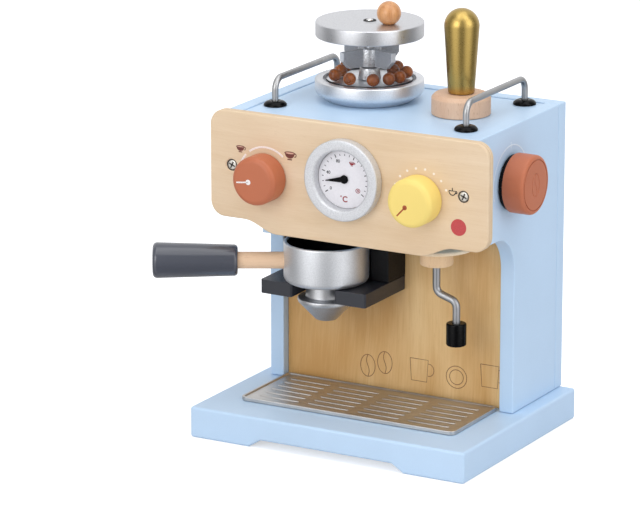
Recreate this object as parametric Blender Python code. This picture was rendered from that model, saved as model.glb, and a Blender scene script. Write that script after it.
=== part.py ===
"""Toy coffee maker: a painted wooden machine with a grinder hopper, a portafilter and a steam wand.

All lengths are in metres. X runs to the machine's right, Y to its back and Z up. Places are
worked out from the middle of the base board on the ground, and at the end the whole machine
is moved so that the middle of its footprint is the origin.
"""

import math

import bmesh
import bpy
from mathutils import Vector

# Fits that every piece shares
SEAT_GAP = 0.0003
RUNNING_GAP = 0.0005
CUT_OVERRUN = 0.003
WELD_DISTANCE = 0.000001

# Base board, with a shallow channel underneath that leaves two foot rails
BASE_SIDE_LEDGE = 0.012
BASE_FRONT_LEDGE = 0.0431
BASE_BACK_LEDGE = 0.0005
BASE_HEIGHT = 0.025
BASE_EDGE = 0.0022
FOOT_RAIL_WIDTH = 0.052
CHANNEL_HEIGHT = 0.0065
CHANNEL_SLOPE_WIDTH = 0.0105

# Body of painted boards
BODY_TOP = 0.256
BOARD_THICKNESS = 0.012
BACK_BOARD_THICKNESS = 0.0122
BOARD_EDGE = 0.0008
TOP_BOARD_SINK = 0.0008
LEG_DEPTH = 0.0856
HEAD_HEIGHT = 0.086
ARCH_RADIUS = 0.030
INNER_PANEL_SETBACK = 0.0073
INNER_PANEL_THICKNESS = 0.004

# Front panel of plywood
PANEL_OVERHANG = 0.0126
PANEL_THICKNESS = 0.008
PANEL_EDGE = 0.0007
PANEL_CORNER = 0.012
PANEL_BELLY_LIP = 0.0075
PANEL_SHOULDER_RISE = 0.0089
PANEL_SHOULDER_WIDTH = 0.0296
PANEL_CURVE_WIDTH = 0.029
PANEL_SCREW_INSET = 0.0075
PANEL_SCREW_OFFSET = -0.0012
PANEL_SCREW_DROP = 0.0428
PANEL_SCREW_HEAD_RADIUS = 0.004
PANEL_SCREW_HEAD_HEIGHT = 0.0018
PANEL_SCREW_RECESS = 0.0006
PANEL_SCREW_SHANK_RADIUS = 0.0016
PANEL_SCREW_LENGTH = 0.020
PANEL_SCREW_SLOT_WIDTH = 0.0011
PANEL_SCREW_SLOT_LENGTH = 0.0048
PANEL_SCREW_SLOT_DEPTH = 0.0009

# Temperature gauge
GAUGE_OFFSET = -0.0011
GAUGE_DROP = 0.0412
GAUGE_RADIUS = 0.0316
GAUGE_BORE = 0.023
GAUGE_DEPTH = 0.009
GAUGE_OUTER_FILLET = 0.001
GAUGE_INNER_FILLET = 0.0018
DIAL_THICKNESS = 0.0015
POINTER_LENGTH = 0.0162
POINTER_ROOT_WIDTH = 0.005
POINTER_TIP_WIDTH = 0.0006
POINTER_THICKNESS = 0.001
POINTER_HUB_RADIUS = 0.0033
POINTER_HUB_HEIGHT = 0.0018
POINTER_PIN_RADIUS = 0.0012
POINTER_PIN_END = 0.002
POINTER_REST_DEGREES = 189.0

# Brew and steam knobs
KNOB_RADIUS = 0.019
KNOB_DEPTH = 0.0186
KNOB_FRONT_FILLET = 0.0045
KNOB_DROP = 0.0487
BREW_KNOB_INSET = 0.0485
STEAM_KNOB_INSET = 0.0578
KNOB_SCREW_HEAD_RADIUS = 0.0045
KNOB_SCREW_HEAD_HEIGHT = 0.0025
KNOB_SCREW_SHANK_RADIUS = 0.002
KNOB_SCREW_SEAT = 0.010

# Grinder knob on the right side
SIDE_KNOB_RADIUS = 0.023
SIDE_KNOB_DEPTH = 0.0175
SIDE_KNOB_FILLET = 0.0035
SIDE_KNOB_RING_RADIUS = 0.0195
SIDE_KNOB_RING_WIDTH = 0.0008
SIDE_KNOB_RING_DEPTH = 0.0006
SIDE_KNOB_SETBACK = 0.0533
SIDE_KNOB_DROP = 0.0437
SIDE_WASHER_RADIUS = 0.0215
SIDE_WASHER_THICKNESS = 0.003

# Cup rails on the top
RAIL_ROD_RADIUS = 0.0025
RAIL_HEIGHT = 0.0212
RAIL_BEND_RADIUS = 0.009
RAIL_SIDE_INSET = 0.025
RAIL_FRONT_SETBACK = 0.027
RAIL_BACK_INSET = 0.0221
RAIL_SEAT_DEPTH = 0.009
GROMMET_RADIUS = 0.0091
GROMMET_HEIGHT = 0.0043
GROMMET_TOP_RADIUS = 0.0042
GROMMET_EDGE_HEIGHT = 0.0012

# Grinder hopper
HOPPER_RAIL_GAP = 0.0076
HOPPER_BACK_INSET = 0.0223
DISH_RIM_WIDTH = 0.0066
DISH_FOOT_INSET = 0.0095
DISH_HEIGHT = 0.0168
DISH_CHAMFER_HEIGHT = 0.0065
DISH_RIM_FILLET = 0.001
DISH_FLOOR_DROP = 0.001
TUBE_RADIUS = 0.036
TUBE_WALL = 0.002
TUBE_SEAT_DEPTH = 0.0035
TUBE_SHOWN_HEIGHT = 0.0332
LID_OVERHANG = 0.0063
LID_THICKNESS = 0.0118
LID_FILLET = 0.0009
LID_SCREW_RADIUS = 0.0033
LID_SCREW_DOME = 0.0014
LID_COUNTERBORE_RADIUS = 0.005
LID_COUNTERBORE_DEPTH = 0.0018
LID_SCREW_SHANK_RADIUS = 0.0017
LID_SCREW_SEAT = 0.008
BALL_RADIUS = 0.0094
BALL_FLAT_DROP = 0.0012
BALL_CRANK_RADIUS = 0.0198
BALL_CRANK_DEGREES = -13.3
BALL_PEG_RADIUS = 0.0025
BALL_PEG_LENGTH = 0.006
SPINDLE_RADIUS = 0.004
SPINDLE_HUB_RADIUS = 0.009
SPINDLE_HUB_TOP_RADIUS = 0.0075
SPINDLE_HUB_HEIGHT = 0.0095
SPINDLE_PIVOT_RADIUS = 0.002
SPINDLE_PIVOT_LENGTH = 0.004
PADDLE_TUBE_GAP = 0.0055
PADDLE_LIFT = 0.0112
PADDLE_HEIGHT = 0.0135
PADDLE_THICKNESS = 0.0042
PADDLE_CHAMFER = 0.0068
PADDLE_SLEEVE_RADIUS = 0.0056
PADDLE_REST_DEGREES = 69.0
BEAD_RADIUS = 0.005
BEAD_WALL_GAP = 0.0003

# Each bead's angle round the hopper, and how far out it lies towards the tube
BEAD_PLACE_SHARES = (
    (229, 1.0),
    (196, 0.80),
    (266, 1.0),
    (304, 1.0),
    (330, 1.0),
    (353, 1.0),
    (29, 1.0),
    (70, 1.0),
    (49, 0.68),
    (112, 1.0),
    (158, 1.0),
)

# Tamper that stands on the top
TAMPER_RAIL_GAP = 0.0029
TAMPER_SETBACK = 0.0733
TAMPER_FOOT_RADIUS = 0.0229
TAMPER_FOOT_HEIGHT = 0.016
TAMPER_FOOT_CHAMFER = 0.0028
TAMPER_FOOT_EDGE = 0.0008
TAMPER_HANDLE_HEIGHT = 0.066
TAMPER_HANDLE_RADIUS = 0.0136
TAMPER_NECK_RADIUS = 0.0102
TAMPER_NECK_FILLET = 0.0012
TAMPER_PEG_RADIUS = 0.004
TAMPER_PEG_LENGTH = 0.010

# Brew group: a blue board under the head, a black block and a black fork
GROUP_SIDE_GAP = 0.013
GROUP_SETBACK = 0.0035
GROUP_SIDE_WALL = 0.012
GROUP_BACK_WALL = 0.0092
GROUP_BOARD_THICKNESS = 0.0114
GROUP_BLOCK_DEPTH = 0.0282
GROUP_EDGE = 0.0007
FORK_THICKNESS = 0.011
FORK_SLOT_WIDTH = 0.038
FORK_CORNER = 0.0015
BASKET_HEADROOM = 0.0038
BASKET_CLEARANCE = 0.001
BASKET_SETBACK = 0.0218

# Portafilter
BASKET_RADIUS = 0.0333
BASKET_HEIGHT = 0.0323
BASKET_WALL = 0.003
BASKET_FLOOR = 0.004
BASKET_BOTTOM_FILLET = 0.0045
BASKET_RIM_FILLET = 0.0013
BASKET_INNER_FILLET = 0.003
SPOUT_NECK_RADIUS = 0.016
SPOUT_RIM_RADIUS = 0.0224
SPOUT_TIP_RADIUS = 0.0082
SPOUT_NECK_LENGTH = 0.0117
SPOUT_RIM_DROP = 0.0008
SPOUT_RIM_THICKNESS = 0.003
SPOUT_CONE_HEIGHT = 0.0152
SPOUT_TIP_FILLET = 0.0015
HANDLE_REST_DEGREES = 209.4
DOWEL_RADIUS = 0.0066
DOWEL_SHOWN = 0.0353
DOWEL_SEAT = 0.016
DOWEL_INNER_END = 0.001
HANDLE_LENGTH = 0.066
HANDLE_NEAR_RADIUS = 0.0122
HANDLE_FAR_RADIUS = 0.0141
HANDLE_FILLET = 0.0026

# Steam wand
WAND_SIDE_GAP = 0.0121
WAND_GROUP_GAP = 0.0133
WAND_BACK_GAP = 0.0012
WAND_ROD_RADIUS = 0.003
WAND_SPACER_RADIUS = 0.006
WAND_SPACER_HEIGHT = 0.0085
WAND_DISC_RADIUS = 0.0305
WAND_DISC_THICKNESS = 0.003
WAND_DISC_FILLET = 0.0011
WAND_COLLAR_RADIUS = 0.0129
WAND_COLLAR_HEIGHT = 0.0137
WAND_COLLAR_FILLET = 0.001
WAND_SEAT = 0.007
WAND_UPPER_DROP = 0.022
WAND_KINK_OFFSET = 0.0175
WAND_KINK_DROP = 0.0056
WAND_BEND_RADIUS = 0.0068
WAND_LOWER_DROP = 0.0167
WAND_TIP_RADIUS = 0.0079
WAND_TIP_LENGTH = 0.018
WAND_TIP_FILLET = 0.0015
WAND_TIP_SEAT = 0.009

# Drip tray
TRAY_FRONT_MARGIN = 0.0325
TRAY_SIDE_MARGIN = 0.002
TRAY_BACK_MARGIN = 0.004
TRAY_CORNER = 0.005
TRAY_HEIGHT = 0.0032
TRAY_RIM_WIDTH = 0.0018
TRAY_RIM_SLOPE = 0.0014
TRAY_POCKET_DEPTH = 0.002
TRAY_RIB_COLUMNS = 4
TRAY_RIB_ROWS = 6
TRAY_RIB_WIDTH = 0.0032
TRAY_RIB_HEIGHT = 0.0009
TRAY_RIB_MARGIN = 0.007
TRAY_RIB_SPACING = 0.008

# How finely round forms are cut into flats
LARGE_SIDES = 36
MEDIUM_SIDES = 24
SMALL_SIDES = 16
TINY_SIDES = 12
CORNER_STEPS = 4
FILLET_STEPS = 2
ROD_RESOLUTION = 2
BEAD_SIDES = 10
BEAD_BANDS = 6

# The brew group is built round the basket, and the body round the group and the wand's disc
HOLLOW_RADIUS = BASKET_RADIUS + BASKET_CLEARANCE
GROUP_WIDTH = 2 * (HOLLOW_RADIUS + GROUP_SIDE_WALL)
GROUP_DEPTH = BASKET_SETBACK + HOLLOW_RADIUS + GROUP_BACK_WALL
WAND_BAY_WIDTH = WAND_GROUP_GAP + 2 * WAND_DISC_RADIUS + WAND_SIDE_GAP
INNER_WIDTH = GROUP_SIDE_GAP + GROUP_WIDTH + WAND_BAY_WIDTH
BODY_WIDTH = INNER_WIDTH + 2 * BOARD_THICKNESS
HEAD_OVERHANG = GROUP_SETBACK + GROUP_DEPTH + SEAT_GAP - INNER_PANEL_SETBACK
BODY_DEPTH = LEG_DEPTH + HEAD_OVERHANG
PANEL_WIDTH = BODY_WIDTH + 2 * PANEL_OVERHANG
BASE_WIDTH = BODY_WIDTH + 2 * BASE_SIDE_LEDGE
BASE_DEPTH = BODY_DEPTH + BASE_FRONT_LEDGE + BASE_BACK_LEDGE

# Places of the boards
BODY_BACK = BASE_DEPTH / 2 - BASE_BACK_LEDGE
BODY_FRONT = BODY_BACK - BODY_DEPTH
LEG_FRONT = BODY_BACK - LEG_DEPTH
SIDE_BACK = BODY_BACK - BACK_BOARD_THICKNESS - SEAT_GAP
INSET_BOARD_WIDTH = INNER_WIDTH - 2 * SEAT_GAP
INSET_BOARD_BACK = SIDE_BACK - SEAT_GAP
INNER_PANEL_FRONT = LEG_FRONT + INNER_PANEL_SETBACK
TOP_FACE = BODY_TOP - TOP_BOARD_SINK
HEAD_FLOOR = BODY_TOP - HEAD_HEIGHT
PANEL_BACK = BODY_FRONT - SEAT_GAP
PANEL_FRONT = PANEL_BACK - PANEL_THICKNESS
BREW_KNOB_X = -PANEL_WIDTH / 2 + BREW_KNOB_INSET
STEAM_KNOB_X = PANEL_WIDTH / 2 - STEAM_KNOB_INSET

# Places under the head
GROUP_OFFSET = -INNER_WIDTH / 2 + GROUP_SIDE_GAP + GROUP_WIDTH / 2
GROUP_BACK = INNER_PANEL_FRONT - SEAT_GAP
GROUP_FRONT = GROUP_BACK - GROUP_DEPTH
GROUP_BOARD_BOTTOM = HEAD_FLOOR - SEAT_GAP - GROUP_BOARD_THICKNESS
GROUP_BLOCK_HEIGHT = BASKET_HEIGHT + BASKET_HEADROOM
FORK_TOP = GROUP_BOARD_BOTTOM - 2 * SEAT_GAP - GROUP_BLOCK_HEIGHT
BASKET_Y = GROUP_FRONT + BASKET_SETBACK
WAND_OFFSET = INNER_WIDTH / 2 - WAND_SIDE_GAP - WAND_DISC_RADIUS
WAND_Y = INNER_PANEL_FRONT - WAND_BACK_GAP - WAND_DISC_RADIUS

# Places on the top
RAIL_X = BODY_WIDTH / 2 - RAIL_SIDE_INSET
RAIL_LENGTH = BODY_DEPTH - RAIL_FRONT_SETBACK - RAIL_BACK_INSET
DISH_RADIUS = TUBE_RADIUS + DISH_RIM_WIDTH
HOPPER_OFFSET = -RAIL_X + RAIL_ROD_RADIUS + HOPPER_RAIL_GAP + DISH_RADIUS
HOPPER_Y = BODY_BACK - HOPPER_BACK_INSET - DISH_RADIUS
TAMPER_OFFSET = RAIL_X - RAIL_ROD_RADIUS - TAMPER_RAIL_GAP - TAMPER_FOOT_RADIUS
TAMPER_Y = BODY_FRONT + TAMPER_SETBACK

# Turns that lay a piece made upright: facing the front, facing the right, and on its side
UPRIGHT = (0, 0, 0)
FACING_FRONT = (math.pi / 2, 0, 0)
FACING_RIGHT = (0, math.pi / 2, 0)
ON_EDGE = (math.pi / 2, 0, math.pi / 2)

# Finishes: base colour, roughness, metallic
FINISHES = {
    "blue_paint": ((0.49, 0.65, 0.85), 0.5, 0.0),
    "plywood": ((0.78, 0.60, 0.40), 0.6, 0.0),
    "beech": ((0.70, 0.46, 0.29), 0.6, 0.0),
    "terracotta_paint": ((0.55, 0.19, 0.10), 0.5, 0.0),
    "yellow_paint": ((0.93, 0.71, 0.22), 0.5, 0.0),
    "silver_paint": ((0.58, 0.59, 0.61), 0.35, 0.8),
    "gold_paint": ((0.43, 0.29, 0.09), 0.3, 0.8),
    "charcoal_paint": ((0.10, 0.11, 0.13), 0.5, 0.0),
    "black_paint": ((0.045, 0.046, 0.055), 0.5, 0.0),
    "black_plastic": ((0.02, 0.02, 0.022), 0.3, 0.0),
    "steel": ((0.55, 0.55, 0.56), 0.25, 1.0),
    "tray_steel": ((0.60, 0.59, 0.58), 0.3, 1.0),
    "dial_white": ((0.86, 0.86, 0.86), 0.5, 0.0),
    "clear_acrylic": ((0.95, 0.97, 0.98), 0.05, 0.0),
    "bean_paint": ((0.32, 0.10, 0.03), 0.35, 0.0),
}


def clear_scene():
    for old in list(bpy.data.objects):
        bpy.data.objects.remove(old)


def make_finishes():
    made = {}
    for name, (colour, roughness, metallic) in FINISHES.items():
        material = bpy.data.materials.new(name)
        material.use_nodes = True
        shader = material.node_tree.nodes["Principled BSDF"]
        shader.inputs["Base Color"].default_value = (*colour, 1)
        shader.inputs["Roughness"].default_value = roughness
        shader.inputs["Metallic"].default_value = metallic
        made[name] = material
    made["clear_acrylic"].node_tree.nodes["Principled BSDF"].inputs["Transmission Weight"].default_value = 1
    return made


def add_empty(name, parent, at, turn=UPRIGHT):
    empty = bpy.data.objects.new(name, None)
    bpy.context.collection.objects.link(empty)
    empty.parent = parent
    empty.location = at
    empty.rotation_euler = turn
    return empty


def add_object(name, data, finish, parent, at, turn=UPRIGHT):
    piece = bpy.data.objects.new(name, data)
    bpy.context.collection.objects.link(piece)
    piece.parent = parent
    piece.location = at
    piece.rotation_euler = turn
    if finish:
        data.materials.append(MATERIALS[finish])
    return piece


def finish_mesh(name, shape):
    bmesh.ops.remove_doubles(shape, verts=shape.verts, dist=WELD_DISTANCE)
    bmesh.ops.recalc_face_normals(shape, faces=shape.faces)
    mesh = bpy.data.meshes.new(name)
    shape.to_mesh(mesh)
    shape.free()
    mesh.shade_smooth()
    mesh.set_sharp_from_angle(angle=math.radians(35))
    return mesh


def arc(centre, radius, start_degrees, end_degrees, steps=CORNER_STEPS):
    points = []
    for step in range(steps + 1):
        angle = math.radians(start_degrees + (end_degrees - start_degrees) * step / steps)
        points.append((centre[0] + radius * math.cos(angle), centre[1] + radius * math.sin(angle)))
    return points


def rounded(corners, closed=True, steps=CORNER_STEPS):
    """Outline through corners given as (x, y, radius), each turned into an arc of its radius."""
    points = []
    count = len(corners)
    for index, (x, y, radius) in enumerate(corners):
        inner = closed or 0 < index < count - 1
        if not inner or not radius:
            points.append((x, y))
            continue
        corner = Vector((x, y))
        before = (Vector(corners[index - 1][:2]) - corner).normalized()
        after = (Vector(corners[(index + 1) % count][:2]) - corner).normalized()
        half_angle = before.angle(after) / 2
        tangent = radius / math.tan(half_angle)
        centre = corner + (before + after).normalized() * (radius / math.sin(half_angle))
        start = corner + before * tangent - centre
        sweep = start.angle_signed(corner + after * tangent - centre)
        for step in range(steps + 1):
            angle = -sweep * step / steps
            turned_start = Vector((
                start.x * math.cos(angle) - start.y * math.sin(angle),
                start.x * math.sin(angle) + start.y * math.cos(angle),
            ))
            points.append(tuple(centre + turned_start))
    return points


def box_outline(width, height, radius=0.0, centre=(0, 0)):
    x, y = centre
    half_width, half_height = width / 2, height / 2
    return rounded((
        (x - half_width, y - half_height, radius),
        (x + half_width, y - half_height, radius),
        (x + half_width, y + half_height, radius),
        (x - half_width, y + half_height, radius),
    ))


def extruded(name, outline, thickness, finish, parent, at, turn=UPRIGHT):
    """A plate: the outline lies in the local XY plane and is drawn out along local Z."""
    shape = bmesh.new()
    rim = [shape.verts.new((x, y, 0)) for x, y in outline]
    face = shape.faces.new(rim)
    drawn = bmesh.ops.extrude_face_region(shape, geom=[face], use_keep_orig=True)
    moved = [item for item in drawn["geom"] if isinstance(item, bmesh.types.BMVert)]
    bmesh.ops.translate(shape, verts=moved, vec=(0, 0, thickness))
    return add_object(name, finish_mesh(name, shape), finish, parent, at, turn)


def turned(name, profile, sides, finish, parent, at, turn=UPRIGHT):
    """A lathe piece: the profile of (radius, height) points is spun about local Z."""
    shape = bmesh.new()
    points = [shape.verts.new((radius, 0, height)) for radius, height in profile]
    edges = [shape.edges.new(pair) for pair in zip(points, points[1:])]
    if profile[0][0] > 0:
        edges.append(shape.edges.new((points[-1], points[0])))
    bmesh.ops.spin(
        shape, geom=points + edges, cent=(0, 0, 0), axis=(0, 0, 1), angle=2 * math.pi, steps=sides,
    )
    return add_object(name, finish_mesh(name, shape), finish, parent, at, turn)


def bent_rod(name, path, radius, finish, parent, at):
    """A round rod whose centre line passes through the 3-D points of the path."""
    curve = bpy.data.curves.new(name, "CURVE")
    curve.dimensions = "3D"
    curve.bevel_depth = radius
    curve.bevel_resolution = ROD_RESOLUTION
    curve.use_fill_caps = True
    spline = curve.splines.new("POLY")
    spline.points.add(len(path) - 1)
    for point, place in zip(spline.points, path):
        point.co = (*place, 1)
    spline.use_smooth = True
    return add_object(name, curve, finish, parent, at)


def soften(piece, width, segments=1):
    bevel = piece.modifiers.new("softened_edges", "BEVEL")
    bevel.width = width
    bevel.segments = segments
    bevel.limit_method = "ANGLE"
    bevel.angle_limit = math.radians(35)


def combine(piece, tool, operation="DIFFERENCE"):
    tool.hide_render = True
    tool.display_type = "WIRE"
    boolean = piece.modifiers.new(tool.name, "BOOLEAN")
    boolean.operation = operation
    boolean.solver = "EXACT"
    boolean.object = tool


def drill(piece, label, radius, length, parent, at, turn=UPRIGHT, sides=TINY_SIDES):
    """Cut a round hole that starts at the given place and runs along the turned local Z."""
    profile = ((0, 0), (radius, 0), (radius, length), (0, length))
    bit = turned(piece.name + "_" + label, profile, sides, None, parent, at, turn)
    combine(piece, bit)


def build_base(machine):
    half = BASE_WIDTH / 2
    rail_edge = half - FOOT_RAIL_WIDTH
    channel_edge = rail_edge - CHANNEL_SLOPE_WIDTH
    outline = (
        (-half, 0), (-rail_edge, 0), (-channel_edge, CHANNEL_HEIGHT), (channel_edge, CHANNEL_HEIGHT),
        (rail_edge, 0), (half, 0), (half, BASE_HEIGHT), (-half, BASE_HEIGHT),
    )
    base = extruded(
        "base_board", outline, BASE_DEPTH, "blue_paint", machine, (0, BASE_DEPTH / 2, 0), FACING_FRONT,
    )
    soften(base, BASE_EDGE, segments=2)


def side_outline():
    """Side board seen from the right: local X is the machine's Y, local Y is its Z."""
    foot = BASE_HEIGHT + SEAT_GAP
    return rounded((
        (LEG_FRONT, foot, 0),
        (SIDE_BACK, foot, 0),
        (SIDE_BACK, BODY_TOP, 0),
        (BODY_FRONT, BODY_TOP, 0),
        (BODY_FRONT, HEAD_FLOOR, 0),
        (LEG_FRONT, HEAD_FLOOR, ARCH_RADIUS),
    ), steps=2 * CORNER_STEPS)


def build_body(machine):
    foot = BASE_HEIGHT + SEAT_GAP
    sides = {}
    for name, inner_x in (("side_board_left", -BODY_WIDTH / 2), ("side_board_right", INNER_WIDTH / 2)):
        sides[name] = extruded(
            name, side_outline(), BOARD_THICKNESS, "blue_paint", machine, (inner_x, 0, 0), ON_EDGE,
        )
        soften(sides[name], BOARD_EDGE)

    top_depth = INSET_BOARD_BACK - BODY_FRONT
    top = extruded(
        "top_board", box_outline(INSET_BOARD_WIDTH, top_depth), BOARD_THICKNESS, "blue_paint", machine,
        (0, BODY_FRONT + top_depth / 2, TOP_FACE - BOARD_THICKNESS),
    )
    soften(top, BOARD_EDGE)

    floor = extruded(
        "head_floor_board", box_outline(INSET_BOARD_WIDTH, top_depth), BOARD_THICKNESS, "blue_paint",
        machine, (0, BODY_FRONT + top_depth / 2, HEAD_FLOOR),
    )
    soften(floor, BOARD_EDGE)

    back_height = BODY_TOP - foot
    back = extruded(
        "back_board", box_outline(BODY_WIDTH, back_height, centre=(0, foot + back_height / 2)),
        BACK_BOARD_THICKNESS, "blue_paint", machine, (0, BODY_BACK, 0), FACING_FRONT,
    )
    soften(back, BOARD_EDGE)

    inner_height = HEAD_FLOOR - SEAT_GAP - foot
    extruded(
        "inner_back_panel",
        box_outline(INSET_BOARD_WIDTH, inner_height, centre=(0, foot + inner_height / 2)),
        INNER_PANEL_THICKNESS, "plywood", machine,
        (0, INNER_PANEL_FRONT + INNER_PANEL_THICKNESS, 0), FACING_FRONT,
    )
    return sides, top, floor


def panel_outline():
    """Front panel seen from the front: straight shoulders, and a lower edge that swells down."""
    half = PANEL_WIDTH / 2
    belly = HEAD_FLOOR - PANEL_BELLY_LIP
    shoulder = belly + PANEL_SHOULDER_RISE
    curve_start = half - PANEL_SHOULDER_WIDTH
    curve_end = curve_start - PANEL_CURVE_WIDTH
    steps = 2 * CORNER_STEPS
    left_curve = []
    for step in range(steps + 1):
        fall = (1 - math.cos(math.pi * step / steps)) / 2
        left_curve.append((
            -curve_start + (curve_start - curve_end) * step / steps, shoulder - (shoulder - belly) * fall,
        ))
    right_curve = [(-x, z) for x, z in reversed(left_curve)]
    right_side = rounded((
        (curve_start, shoulder, 0),
        (half, shoulder, PANEL_CORNER),
        (half, BODY_TOP, PANEL_CORNER),
        (0, BODY_TOP, 0),
    ), closed=False)[1:-1]
    left_side = [(-x, z) for x, z in reversed(right_side)]
    return left_curve + right_curve + right_side + left_side


def build_panel(machine, sides):
    panel = extruded(
        "front_panel", panel_outline(), PANEL_THICKNESS, "plywood", machine, (0, PANEL_BACK, 0),
        FACING_FRONT,
    )
    soften(panel, PANEL_EDGE)

    screw_height = BODY_TOP - PANEL_SCREW_DROP
    head_back = -PANEL_SCREW_RECESS - PANEL_SCREW_HEAD_HEIGHT
    profile = rounded((
        (0, head_back - PANEL_SCREW_LENGTH, 0),
        (PANEL_SCREW_SHANK_RADIUS, head_back - PANEL_SCREW_LENGTH, 0),
        (PANEL_SCREW_SHANK_RADIUS, head_back, 0),
        (PANEL_SCREW_HEAD_RADIUS, head_back, 0),
        (PANEL_SCREW_HEAD_RADIUS, -PANEL_SCREW_RECESS, PANEL_SCREW_HEAD_HEIGHT / 2),
        (0, -PANEL_SCREW_RECESS, 0),
    ), closed=False, steps=FILLET_STEPS)
    for side, sign in (("left", -1), ("right", 1)):
        screw_x = PANEL_SCREW_OFFSET + sign * (BODY_WIDTH / 2 - PANEL_SCREW_INSET)
        place = (screw_x, PANEL_FRONT, screw_height)
        screw = turned("panel_screw_" + side, profile, TINY_SIDES, "steel", machine, place, FACING_FRONT)
        slot_back = (place[0], PANEL_FRONT + PANEL_SCREW_RECESS + PANEL_SCREW_SLOT_DEPTH, place[2])
        for label, (width, height) in (
            ("slot_across", (PANEL_SCREW_SLOT_LENGTH, PANEL_SCREW_SLOT_WIDTH)),
            ("slot_up", (PANEL_SCREW_SLOT_WIDTH, PANEL_SCREW_SLOT_LENGTH)),
        ):
            slot = extruded(
                screw.name + "_" + label, box_outline(width, height),
                PANEL_SCREW_SLOT_DEPTH + CUT_OVERRUN, None, machine, slot_back, FACING_FRONT,
            )
            combine(screw, slot)
        recess_depth = PANEL_SCREW_RECESS + PANEL_SCREW_HEAD_HEIGHT + SEAT_GAP
        drill(
            panel, "recess_" + side, PANEL_SCREW_HEAD_RADIUS + SEAT_GAP, recess_depth + CUT_OVERRUN,
            machine, (place[0], PANEL_FRONT + recess_depth, place[2]), FACING_FRONT,
        )
        hole_back = PANEL_FRONT - head_back + PANEL_SCREW_LENGTH + SEAT_GAP
        for piece in (panel, sides["side_board_" + side]):
            drill(
                piece, "screw_hole_" + side, PANEL_SCREW_SHANK_RADIUS + SEAT_GAP,
                hole_back - PANEL_FRONT, machine, (place[0], hole_back, place[2]), FACING_FRONT,
            )
    return panel


def build_gauge(machine, panel):
    centre = (GAUGE_OFFSET, PANEL_FRONT, BODY_TOP - GAUGE_DROP)
    ring_profile = rounded((
        (GAUGE_BORE, SEAT_GAP, 0),
        (GAUGE_RADIUS, SEAT_GAP, 0),
        (GAUGE_RADIUS, GAUGE_DEPTH, GAUGE_OUTER_FILLET),
        (GAUGE_BORE, GAUGE_DEPTH, GAUGE_INNER_FILLET),
    ), steps=FILLET_STEPS)
    turned("gauge_ring", ring_profile, LARGE_SIDES, "silver_paint", machine, centre, FACING_FRONT)

    dial_front = SEAT_GAP + DIAL_THICKNESS
    dial_radius = GAUGE_BORE - SEAT_GAP
    pin_hole = POINTER_PIN_RADIUS + SEAT_GAP
    dial_profile = (
        (pin_hole, SEAT_GAP), (dial_radius, SEAT_GAP), (dial_radius, dial_front), (pin_hole, dial_front),
    )
    turned("gauge_dial", dial_profile, LARGE_SIDES, "dial_white", machine, centre, FACING_FRONT)
    drill(
        panel, "pin_hole", pin_hole, PANEL_THICKNESS + 2 * CUT_OVERRUN, machine,
        (centre[0], PANEL_BACK + CUT_OVERRUN, centre[2]), FACING_FRONT,
    )

    axis = add_empty("gauge_pointer_axis", machine, centre, FACING_FRONT)
    needle_back = dial_front + SEAT_GAP
    turn = (0, 0, math.radians(POINTER_REST_DEGREES))
    needle_outline = (
        (0, -POINTER_ROOT_WIDTH / 2),
        (POINTER_LENGTH, -POINTER_TIP_WIDTH / 2),
        (POINTER_LENGTH, POINTER_TIP_WIDTH / 2),
        (0, POINTER_ROOT_WIDTH / 2),
    )
    pointer = extruded(
        "gauge_pointer", needle_outline, POINTER_THICKNESS, "black_plastic", axis, (0, 0, needle_back), turn,
    )
    hub_front = needle_back + POINTER_HUB_HEIGHT
    pin_end = -PANEL_THICKNESS - POINTER_PIN_END
    hub_profile = rounded((
        (0, pin_end, 0),
        (POINTER_PIN_RADIUS, pin_end, 0),
        (POINTER_PIN_RADIUS, needle_back, 0),
        (POINTER_HUB_RADIUS, needle_back, 0),
        (POINTER_HUB_RADIUS, hub_front, POINTER_HUB_HEIGHT / 3),
        (0, hub_front, 0),
    ), closed=False, steps=FILLET_STEPS)
    hub = turned("gauge_pointer_hub", hub_profile, TINY_SIDES, None, axis, (0, 0, 0))
    combine(pointer, hub, "UNION")


def knob_profile(radius, back, front, fillet, hole_radius, ring=()):
    """Turned knob with a blind screw hole in its back; ring holds points of an engraved circle."""
    hole_end = back + KNOB_SCREW_SEAT
    outer = rounded((
        (hole_radius, back, 0),
        (radius, back, 0),
        (radius, front, fillet),
        (0, front, 0),
    ), closed=False)
    return [(0, hole_end), (hole_radius, hole_end), *outer[:-1], *ring, outer[-1]]


def screw_profile(head_end, head_front, shank_end):
    """Round-headed screw that is put in from behind a board."""
    return rounded((
        (0, head_end, 0),
        (KNOB_SCREW_HEAD_RADIUS, head_end, KNOB_SCREW_HEAD_HEIGHT / 2),
        (KNOB_SCREW_HEAD_RADIUS, head_front, 0),
        (KNOB_SCREW_SHANK_RADIUS, head_front, 0),
        (KNOB_SCREW_SHANK_RADIUS, shank_end, 0),
        (0, shank_end, 0),
    ), closed=False, steps=FILLET_STEPS)


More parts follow.
